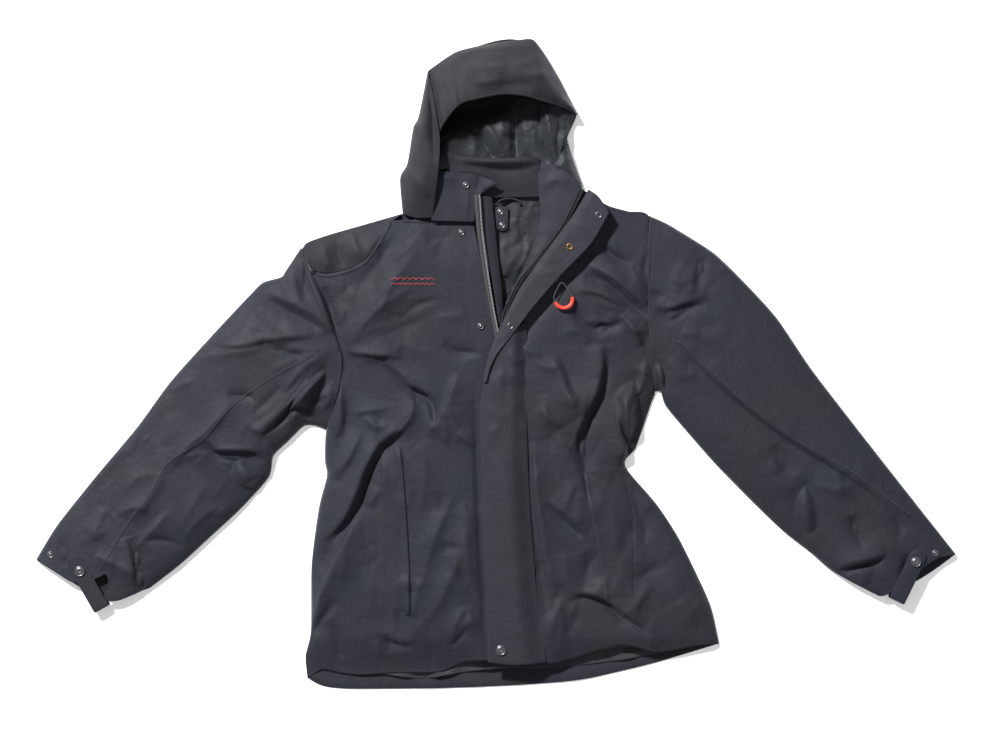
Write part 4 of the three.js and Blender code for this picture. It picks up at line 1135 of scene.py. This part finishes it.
side_grid = patch(
    [(-104, 441), (-101, 430)],
    [(-142, 226), (-120, 219), (-96, 219)],
    [(-104, 441), (-118, 372), (-126, 356), (-135, 302), (-146, 280), (-142, 226)],
    [(-101, 430), (-86, 344), (-86, 300), (-90, 260), (-96, 219)],
    18, 56,
)
s = np.linspace(0, 1, 19)[None]
t = np.linspace(0, 1, 57)[:, None]
side_z = 3 + np.sin(np.pi / 2 * s**0.7) * (36 * np.sin(np.pi * (0.12 + 0.72 * t)) + 4)
SIDE_FOLDS = [
    ([(-106, 430), (-112, 380), (-108, 345)], 6, 9, 5),
    ([(-118, 372), (-108, 348), (-100, 336)], 5, 9, 5),
    ([(-140, 292), (-118, 272), (-98, 250)], 4, 5, 9),
    ([(-98, 425), (-95, 380), (-93, 340), (-91, 300)], -17, 6, 5),
    ([(-132, 300), (-125, 260), (-118, 226)], 4, 9, 14),
    ([(-122, 340), (-110, 300), (-106, 250)], 4, 14, 9),
]
side_z += (folds(side_grid, SIDE_FOLDS) + ripple(side_grid, 50, 61)) * np.sin(np.pi * s) ** 0.6
lay("hood_side_right_shell", side_grid, side_z, HOOD_CLOTH, 1.0, 1, NECK, "shell_fabric", "hood_side_right")

cheek = patch(
    [(64, 392), (98, 384), (120, 373)],
    [(84, 286), (110, 280), (129, 268)],
    [(64, 392), (66, 345), (76, 312), (84, 286)],
    [(120, 373), (108, 346), (106, 336), (117, 300), (129, 268)],
    26, 44,
)
CHEEK_FOLDS = [
    ([(68, 392), (80, 345), (86, 300)], 9, 10, 6),
    ([(88, 390), (94, 345), (92, 296)], -8, 5, 6),
    ([(104, 384), (102, 360), (104, 340)], 5, 5, 7),
    ([(96, 370), (104, 364), (114, 366)], -4, 4, 4),
    ([(84, 292), (104, 306), (118, 312)], 5, 7, 7),
]
s = np.linspace(0, 1, 27)[None]
cheek_z = 4 + 19 * np.sin(np.pi * (0.18 + 0.8 * s)) ** 0.8 + folds(cheek, CHEEK_FOLDS)
lay(
    "hood_side_left_shell", cheek, np.maximum(cheek_z, 3), HOOD_LINING, 0.8, 1, NECK, "lining_fabric",
    "hood_side_left",
)

# ---------------------------------------------------------------- collar and neck

collar_grid = patch(
    [(-84, 318), (-46, 311), (0, 309), (62, 311)],
    [(-56, 250), (0, 250), (64, 251)],
    [(-84, 318), (-74, 280), (-56, 250)],
    [(62, 311), (66, 280), (64, 251)],
    60, 30,
)
COLLAR_FOLDS = [
    ([(-60, 306), (-20, 303), (62, 304)], 5, 4, 5),
    ([(-50, 300), (-10, 293), (30, 292), (62, 299)], -6, 4, 9),
    ([(-60, 290), (-20, 286), (10, 268)], 4, 6, 10),
]
t = np.linspace(0, 1, 31)[:, None]
collar_z = 21 - 7 * t + folds(collar_grid, COLLAR_FOLDS) + 0.8 * ripple(collar_grid, 40, 81)
lay("collar_back_band", collar_grid, collar_z, SHELL_SHADED, 1.2, 1, NECK, "shell_fabric", "collar_back")
neck_grid = patch(
    [(-58, 254), (0, 250), (62, 254)],
    [(-4, 60), (8, 62), (14, 66)],
    [(-58, 254), (-36, 200), (-14, 110), (-4, 60)],
    [(62, 254), (70, 190), (40, 110), (14, 66)],
    34, 56,
)
NECK_FOLDS = creases(30, 17, (2, 100, 64, 245), lambda x, y: 1.0, (26, 80), (1.6, 4), 0.35)
neck_z = 6 + folds(neck_grid, NECK_FOLDS) + 0.6 * noise_sharp(neck_grid, 30, 91, 0.9, 1.8)
lay("neck_lining", neck_grid, np.maximum(neck_z, 3.8), NECK_LINING, 0.5, 1, NECK, "lining_fabric")

collar_r_grid = patch(
    [(-89, 291), (-66, 287), (-40, 285), (-18, 279), (5, 270)],
    [(-98, 215), (-66, 214), (-34, 213)],
    [(-89, 291), (-94, 255), (-98, 215)],
    [(5, 270), (-20, 258), (-30, 245), (-34, 213)],
    40, 34,
)
COLLAR_RIGHT_FOLDS = [
    ([(-44, 284), (-44, 250), (-46, 214)], 1.6, 3, 3),
    ([(-86, 288), (-76, 279), (-62, 276)], 3, 4, 5),
    ([(-24, 262), (-10, 268), (4, 272)], 4, 9, 4),
    ([(-28, 258), (-26, 275), (-22, 284)], -4, 4, 4),
]
t = np.linspace(0, 1, 35)[:, None]
collar_r_z = 24.5 + 2.0 * (1 - t) + folds(
    collar_r_grid, COLLAR_RIGHT_FOLDS,
) + 0.7 * ripple(collar_r_grid, 40, 83)
collar_right = lay(
    "collar_right_shell", collar_r_grid, collar_r_z, SHELL, 1.4, 1, NECK, "shell_fabric", "collar_right",
)

lapel = patch(
    [(60, 303), (90, 296), (128, 266)],
    [(12, 92), (15, 90)],
    [(60, 303), (62, 255), (64, 218), (50, 171), (28, 123), (12, 92)],
    [(128, 266), (120, 246), (97, 207), (61, 160), (36, 129), (15, 90)],
    16, 60,
)
s = np.linspace(0, 1, 17)[None]
LAPEL_FOLDS = [
    ([(64, 262), (84, 276), (110, 272)], 3, 9, 5),
    ([(52, 214), (66, 200), (80, 204)], 2.5, 4, 6),
    ([(40, 160), (52, 168), (62, 162)], 2, 4, 5),
]
lapel_z = 17 + 9.5 * np.sin(np.pi / 2 * s) + folds(
    lapel,
    LAPEL_FOLDS + creases(10, 16, (20, 120, 90, 230), toward(0, 40), (20, 60), (0.8, 2)),
)
lay("front_facing_left", lapel, lapel_z, SHELL, 1.2, 1, NECK, "shell_fabric", "facing_left", "collar_left")

placket = patch(
    [(-28, 250), (-16, 252), (-7, 250)],
    [(2, 60), (6, 60), (10, 62)],
    [(-28, 250), (-17, 180), (-6, 110), (2, 60)],
    [(-7, 250), (0, 180), (8, 110), (10, 62)],
    8, 56,
)
placket_z = 22 - 5 * np.linspace(0, 1, 9)[None] ** 2 + 0.7 * ripple(placket, 30, 87)
lay("inner_placket_strip", placket, placket_z, SHELL, 1.0, 1, "torso", "shell_fabric", "inner_placket")

tab_grid = patch(
    [(-3, 236), (7, 238), (17, 236)],
    [(-2, 204), (8, 200), (17, 204)],
    [(-3, 236), (-2, 204)],
    [(17, 236), (17, 204)],
    10, 16,
)
tab_z = 11.5 + 0.8 * np.sin(np.pi * np.linspace(0, 1, 17))[:, None] + 0 * tab_grid[..., 0]
lay("neck_tab_cloth", tab_grid, tab_z, SHELL, 1.4, 1, "torso", "shell_fabric", "neck_tab")
turn = np.linspace(-0.15, np.pi + 0.15, 30)
loop = np.column_stack([18 + 17 * np.cos(turn), 240 + 9 * np.sin(turn), 11 + 1.5 * np.sin(turn)])
keep(tube("hanger_loop_cord", loop, 1.7, SHELL_SHADED, 10), "torso", "shell_fabric_side", "hanger_loop")

# ---------------------------------------------------------------- storm flap

FREE_EDGE = [(-9, 24), (-16, -10), (-25, -54), (-24, -120), (-22, -200), (-15, -350), (-14, -443)]
HINGE_EDGE = [(44, 66), (46, 20), (46, -40), (46, -110), (49, -200), (58, -320), (68, -400), (74, -443)]
flap_grid = patch(
    [(-9, 24), (16, 42), (44, 66)],
    [(-14, -443), (30, -446), (74, -443)],
    FREE_EDGE, HINGE_EDGE, cells(95, 4), cells(470, 4),
)
s = np.linspace(0, 1, flap_grid.shape[1])[None]
t = np.linspace(0, 1, flap_grid.shape[0])[:, None]
flap_z = 33.4 + 1.8 * np.sin(np.pi * s) - 9.5 * smooth(s * 2.6 - 1.6) + 0 * t
FLAP_FOLDS = [
    ([(-2, 16), (6, -10), (2, -50)], 3, 6, 9),
    ([(14, 20), (30, 8), (44, 12)], 4, 5, 8),
    ([(20, -6), (34, -22), (50, -22)], 3.5, 5, 8),
    ([(-12, -60), (4, -75), (16, -72)], 2, 5, 5),
    ([(10, -110), (16, -200), (26, -290)], 2.5, 14, 18),
    ([(40, -60), (42, -120), (46, -180)], 3, 5, 10),
    ([(20, -300), (30, -350), (34, -410)], 2, 12, 12),
]
flap_z += folds(
    flap_grid,
    FLAP_FOLDS + creases(12, 18, (-10, -100, 45, 20), lambda x, y: 0.4, (15, 40), (0.8, 2)),
)
P = np.dstack([flap_grid, flap_z])
flap = keep(
    cloth_piece("storm_flap_closed", P, FLAP_CLOTH, 1.6, 1),
    ("torso", "storm_flap", (0, 0.0, 0.03), (0, -0.19, 0.03)),
    "shell_fabric", "storm_flap_lower",
)

upper_grid = patch(
    [(136, 262), (152, 250), (167, 226)],
    [(-22, -22), (-18, -27), (-15, -24)],
    [(136, 262), (112, 222), (84, 184), (58, 149), (34, 115), (13, 74), (-2, 43), (-14, 12), (-22, -22)],
    [(167, 226), (140, 180), (92, 130), (50, 81), (20, 41), (2, 20), (-8, 2), (-13, -12), (-15, -24)],
    14, 110,
)
s = np.linspace(0, 1, 15)[None]
t = np.linspace(0, 1, 111)[:, None]
UPPER_FOLDS = [
    ([(62, 132), (76, 138), (92, 136)], 2, 4, 6),
    ([(118, 210), (130, 206), (140, 196)], 2, 4, 6),
    ([(4, 40), (14, 44), (28, 62)], 2.5, 5, 5),
]
upper_z = 33.6 + 2.4 * s + 0.6 * folds(
    upper_grid, UPPER_FOLDS,
) - 2.5 * (1 - smooth(s * 4)) + 2.5 * smooth(t * 6 - 4.4)
upper_flap = lay(
    "storm_flap_folded", upper_grid, upper_z, FLAP_CLOTH, 1.6, 1, "torso", "shell_fabric",
    "storm_flap_upper",
)

# ---------------------------------------------------------------- zips


def chain(name, line, z, material, side, pitch=2.0):
    """Zip teeth along a line: small blocks, wider at the tip, on one side (1 or -1) or both by turns (0)."""
    n = int(length_of(line) / pitch)
    mid = curve(line, n)
    along = headings(mid)
    across = sideways(along)
    turn = np.where(np.arange(n + 1) % 2 == 0, 1, -1) if side == 0 else np.full(n + 1, side)
    plan = np.array([(-0.55, -0.4), (-0.55, 0.9), (-0.75, 2.0), (0.75, 2.0), (0.55, 0.9), (0.55, -0.4)])
    low = mid[:, None] + along[:, None] * plan[None, :, :1]
    low += across[:, None] * plan[None, :, 1:] * turn[:, None, None]
    rings = []
    for dz, inset in ((0, 1.0), (1.7, 1.0), (2.1, 0.8)):
        centre = low.mean(1, keepdims=True)
        flat = centre + (low - centre) * inset
        rings.append(np.concatenate([flat, np.full(flat.shape[:2] + (1,), z + dz)], 2))
    points = np.stack(rings, 1).reshape(-1, 3)
    ring = np.arange(6)
    nxt = (ring + 1) % 6
    walls = [
        np.stack([ring + 6 * k, nxt + 6 * k, nxt + 6 * (k + 1), ring + 6 * (k + 1)], 1)
        for k in (0, 1)
    ]
    lids = np.array([(12, 13, 14, 15), (12, 15, 16, 17)])
    faces = (np.concatenate(walls + [lids])[None] + 18 * np.arange(n + 1)[:, None, None]).reshape(-1, 4)
    obj = mesh_piece(name, points, faces, shade=False)
    obj.data.materials.append(material)
    return obj


def flat_z(value):
    """A level surface at one height, for band()."""
    return lambda xy: np.full(np.asarray(xy).shape[:-1], float(value))


RIGHT_OPEN = [(-27, 253), (-23, 200), (-15, 140), (-6, 84), (1, 48)]
LEFT_OPEN = [(124, 262), (110, 232), (95, 204), (59, 157), (33, 126), (13, 85), (7, 62), (4, 46)]
CLOSED = [(3, 40), (6, 0), (14, -100), (24, -260), (37, -432)]
keep(
    band(
        "zip_tape_right_weave",
        [(-31, 253), (-27, 200), (-18, 140), (-8, 84), (0, 40), (4, 0), (11, -100), (20, -260), (33, -432)],
        6, flat_z(26.4), TAPE, 0.3, 0.6,
    ),
    "torso", "zip_tape", "zip_tape_right",
)
# Painted shade: the left tape is cut from the shaded shell nylon, so that the left side of the zip reads darker
# than the right.
keep(
    band(
        "zip_tape_left_weave",
        [
            (128, 262), (112, 230), (97, 204), (62, 157), (36, 125), (16, 86), (9, 50), (10, 0), (19, -100),
            (28, -260), (41, -432),
        ],
        5, flat_z(26.3), SHELL_SHADED, 0.3, 0.6,
    ),
    "torso", "zip_tape", "zip_tape_left",
)
keep(chain("zip_teeth_right_open", RIGHT_OPEN, 26.8, TEETH, 1), "torso", "zip_teeth", "zip_teeth_right")
# Painted shade: the left teeth take the darker gunmetal instead of the light teeth plastic of the others.
keep(chain("zip_teeth_left_open", LEFT_OPEN, 26.8, GUNMETAL, -1), "torso", "zip_teeth", "zip_teeth_left")
keep(chain("zip_teeth_closed", CLOSED, 26.8, TEETH, 0), "torso", "zip_teeth", "zip_chain_closed")

# ---------------------------------------------------------------- pockets, seams and small parts

front = surface(front_right, front_left, yoke)
WELTS = {
    "right": (
        [(-176, -121), (-176, -250), (-176, -374)],
        [(-144, -121), (-137, -200), (-131, -300), (-130, -374)],
    ),
    "left": ([(196, -176), (206, -240), (206, -352)], [(130, -160), (138, -212), (150, -270), (162, -352)]),
}
for name, (outer, opening) in WELTS.items():
    lines = (outer, opening) if name == "right" else (opening, outer)
    grid = patch([lines[0][0], lines[1][0]], [lines[0][-1], lines[1][-1]], lines[0], lines[1], 12, 62)
    s = np.linspace(0, 1, 13)[None]
    lip = s if name == "right" else 1 - s
    t = np.linspace(0, 1, 63)[:, None]
    edge = np.minimum(np.minimum(t, 1 - t) * 20, np.clip((1 - lip) + lip * 9, 0, 9))
    edge = np.minimum(edge, np.where(lip < 0.5, lip * 14, 9))
    z = front(grid) - 1.2 + 1.7 * smooth(edge) + 2.2 * lip**6
    lay(
        "pocket_welt_" + name + "_cloth", grid, z, SHELL, 0.8, 0, "torso", "shell_fabric",
        "pocket_welt_" + name,
    )
    keep(
        stitches(
            "pocket_stitches_" + name, outer,
            surface(PIECES["pocket_welt_" + name + "_cloth"], front_right, front_left),
            THREAD,
        ),
        "torso", "thread",
    )

for name, outline, node in (
    ("pocket_bag_right_cloth", [(-170, -200), (-62, -200), (-170, -400), (-62, -400)], "pocket_bag_right"),
    ("pocket_bag_left_cloth", [(84, -212), (188, -212), (86, -388), (188, -388)], "pocket_bag_left"),
    ("chest_pocket_bag_cloth", [(46, 18), (96, 18), (46, -88), (96, -88)], "chest_pocket_bag"),
):
    a, b, c, d = outline
    grid = patch([a, b], [c, d], [a, c], [b, d], 16, 24)
    lay(name, grid, lining_rise(grid) + 1.4, LINING, 0.4, 0, "torso", "lining_fabric", node)

SEAMS = {
    "yoke_seam": [(p[0] + 1, p[1] - 3) for p in YOKE_LINE],
    "collar_seam": [(-140, 215), (-96, 214), (-40, 212)],
}
for name, line in SEAMS.items():
    keep(band(name, line, 5, front, SHELL, 0.6), "torso", "shell_fabric")
SLEEVE_SEAMS = {
    "right": [
        (-275, 14), (-340, -22), (-393, -60), (-438, -112), (-490, -146), (-520, -195), (-547, -232),
        (-573, -272), (-592, -306),
    ],
    "left": [(270, 36), (300, 8), (363, -52), (429, -104), (510, -148), (560, -182), (617, -226)],
}
for side, line in SLEEVE_SEAMS.items():
    keep(
        band("sleeve_seam_" + side, line, 4, surface(SLEEVES[side]), SHELL, 0.5),
        SHOULDERS[side], "shell_fabric",
    )


TABS = {}
for side, root, tip in (("right", (-592, -362), (-632, -292)), ("left", (598, -350), (630, -284))):
    root, tip = np.array(root, float), np.array(tip, float)
    along = (tip - root) / np.linalg.norm(tip - root)
    across = np.array([along[1], -along[0]])
    length = np.linalg.norm(tip - root) + 9
    seat = surface(SLEEVES[side])(
        (root + along * np.linspace(0.5, 0.95, 9)[:, None] * length)[None]
    ).max() + 1.4
    rise = np.linspace(0, np.pi, 9)[1:-1]
    turned = np.concatenate([np.linspace(22, 1, 6), -3.5 * np.sin(rise), np.linspace(0, length, 23)])
    middle = (seat + 3) / 2
    z = np.concatenate([np.full(6, 3.0), middle - (middle - 3) * np.cos(rise), np.full(23, seat)])
    half = 12.5 * np.sqrt(np.clip(1 - np.clip((turned - (length - 12)) / 12.4, 0, 1) ** 2, 0.05, 1))
    s = np.linspace(-1, 1, 11)[None, :, None]
    xy = (root + along * turned[:, None])[:, None] + across * half[:, None, None] * s
    z = z[:, None] + 0.7 * np.cos(np.linspace(-1, 1, 11) * np.pi / 2)[None]
    wrist = (
        "sleeve_" + side, "cuff_tab_" + side, (*root * MM, 0.5 * seat * MM), (*root * MM, 0.9 * seat * MM),
    )
    TABS[side] = lay(
        "cuff_tab_" + side + "_cloth", xy, z, SHELL, 1.6, 1, wrist, "shell_fabric", "cuff_tab_" + side,
    )


def snap_cap(name, node, body, cloth):
    """A snap's cap, sunk a little into the cloth: a rolled rim, a groove and a low, dimpled dome."""
    low, high = (np.array(v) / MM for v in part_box(node))
    r = (high[0] - low[0]) / 2
    h = high[2] - low[2] + 0.6
    profile = [
        (0.01, h - 0.5), (r * 0.18, h - 0.45), (r * 0.25, h - 0.1), (r * 0.5, h - 0.1), (r * 0.68, h - 0.5),
        (r * 0.72, h - 0.95), (r * 0.78, h - 0.95), (r * 0.84, h - 0.4), (r * 0.93, h - 0.5), (r, h - 1.1),
        (r, 0.4), (r * 0.9, 0.0), (0.01, 0.0),
    ]
    place = (low[:2] + high[:2]) / 2
    seat = cloth(place[None, None])[0, 0] - 0.3
    return keep(lathe(name, profile[::-1], (*place, seat), GUNMETAL), body, "snap_metal", node)


def snap_ring(name, node, body, material, stud, cloth):
    """A snap's stud or socket, sunk a little into the cloth: a rolled rim round a stud or a hollow."""
    low, high = (np.array(v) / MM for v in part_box(node))
    r = (high[0] - low[0]) / 2
    h = high[2] - low[2]
    inner = [
        (r * 0.45, h * 0.35), (r * 0.42, h), (r * 0.3, h * 1.15), (0.01, h * 1.2),
    ] if stud else [(r * 0.5, h * 0.4), (r * 0.48, h * 0.1), (0.01, h * 0.1)]
    profile = [
        (0.01, 0), (r * 0.95, 0), (r, h * 0.3), (r * 0.95, h * 0.62), (r * 0.8, h * 0.75),
        (r * 0.62, h * 0.62),
    ]
    place = (low[:2] + high[:2]) / 2
    seat = cloth(place[None, None])[0, 0] - 0.3
    return keep(lathe(name, profile + inner, (*place, seat), material, 32), body, "snap_metal", node)


snap_cap("snap_cap_flap", "flap_snap_lower", "storm_flap", surface(flap))
for side in ("right", "left"):
    snap_cap("snap_cap_cuff_" + side, "cuff_snap_" + side, "cuff_tab_" + side, surface(TABS[side]))
    snap_ring(
        "snap_stud_cuff_" + side, "cuff_stud_" + side, "sleeve_" + side, GUNMETAL, True,
        surface(SLEEVES[side]),
    )
for place in ("upper", "middle", "lower"):
    snap_ring(
        "snap_socket_" + place, "flap_socket_" + place, "torso", BRASS if place == "middle" else GUNMETAL,
        False, surface(upper_flap),
    )
for place in ("upper", "middle", "lower", "hem"):
    snap_ring(
        "snap_stud_" + place, "front_stud_" + place, "torso", GUNMETAL, True,
        surface(front_right, collar_right),
    )
for place in ("upper", "lower"):
    low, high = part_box("neck_snap_" + place)
    x, y = (low[0] + high[0]) / 2 / MM, (low[1] + high[1]) / 2 / MM
    keep(
        lathe(
            "neck_snap_ring_" + place,
            [(0.01, 0), (4.6, 0), (4.8, 0.7), (4.2, 1.5), (3.0, 1.2), (2.4, 0.8), (1.8, 2.0), (0.01, 2.2)],
            (x, y, 11.6), GUNMETAL, 28,
        ),
        "torso", "snap_metal", "neck_snap_" + place,
    )

turn = np.radians(np.linspace(200, 375, 40))
grip = np.column_stack([99.5 + 13 * np.cos(turn), 98 + 13 * np.sin(turn), 28.8 + 0 * turn])
keep(tube("puller_grip", grip, 2.7, SIGNAL, 16, 1), "chest_puller", "signal_rubber", "puller_tube")
cord_line = np.vstack(
    [
        grip[:1],
        [
            (84.5, 100, 29.2), (88, 110, 29.4), (94, 121, 29.6), (97, 122.5, 29.6), (101, 119, 29.4),
            (108, 109, 29.2), (112.4, 103, 29.0),
        ],
        grip[-1:],
    ]
)
keep(
    tube("puller_cord_loop", curve(cord_line, 50), 0.9, THREAD, 12),
    "chest_puller", "signal_rubber", "puller_cord",
)

motif_lines = []
for row, (y, high, waves) in enumerate(((126, 3.6, 7), (119, 2.2, 9))):
    x = np.linspace(-157, -93, 180)
    motif_lines.append(
        np.column_stack([x, y + high * np.abs(np.sin((x + 157) * waves * np.pi / 64)) ** 0.7])
    )
for k, line in enumerate(motif_lines):
    z = front(line) + 0.5
    keep(
        tube("motif_wave_%d" % (k + 1), np.column_stack([line, z]), 0.75, RED_THREAD, 8),
        "torso", "thread",
        *(["chest_motif"] if k == 0 else []),
    )

for name, material in (
    ("zip_slider", GUNMETAL), ("zip_pull", GUNMETAL), ("zip_box", TEETH), ("chest_zip_slider", GUNMETAL),
    ("chest_zip_chain", TEETH),
):
    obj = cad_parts[name]
    obj.data.materials.clear()
    obj.data.materials.append(material)

# ---------------------------------------------------------------- stage

floor_mesh = mesh_piece(
    "floor",
    [(-4000, -4000, 0), (4000, -4000, 0), (4000, 4000, 0), (-4000, 4000, 0)],
    [(0, 1, 2, 3)],
    shade=False,
)
paper = Nodes("floor paper")
paper.link(
    paper.mix(paper.noise(3), linear(246, 246, 247), linear(250, 250, 250)),
    paper.skin.inputs["Base Color"],
)
paper.set(Roughness=0.9, Emission_Strength=0.3)
paper.skin.inputs["Emission Color"].default_value = (1, 1, 1, 1)
floor_mesh.data.materials.append(paper.material)


def lamp(name, place, size, power):
    """A square soft light at a place, aimed at the origin."""
    light = bpy.data.lights.new(name, "AREA")
    light.size = size
    light.energy = power
    obj = bpy.data.objects.new(name, light)
    bpy.context.scene.collection.objects.link(obj)
    obj.location = place
    obj.rotation_euler = (-Vector(place)).to_track_quat("-Z", "Y").to_euler()


lamp("key", (-2.7, 3.5, 4.0), 0.6, 700)
lamp("fill", (1.5, -1.2, 3.2), 3.0, 14)
world = bpy.data.worlds.new("room")
world.use_nodes = True
world.node_tree.nodes["Background"].inputs[0].default_value = (1, 1, 1, 1)
world.node_tree.nodes["Background"].inputs[1].default_value = 0.3
bpy.context.scene.world = world

camera = bpy.data.cameras.new("camera")
camera.sensor_width = 36
camera.lens = 96
eye = bpy.data.objects.new("camera", camera)
bpy.context.scene.collection.objects.link(eye)
eye.location = (0.0045, -0.00525, 4.0)
bpy.context.scene.camera = eye
bpy.context.scene.view_settings.view_transform = "Standard"
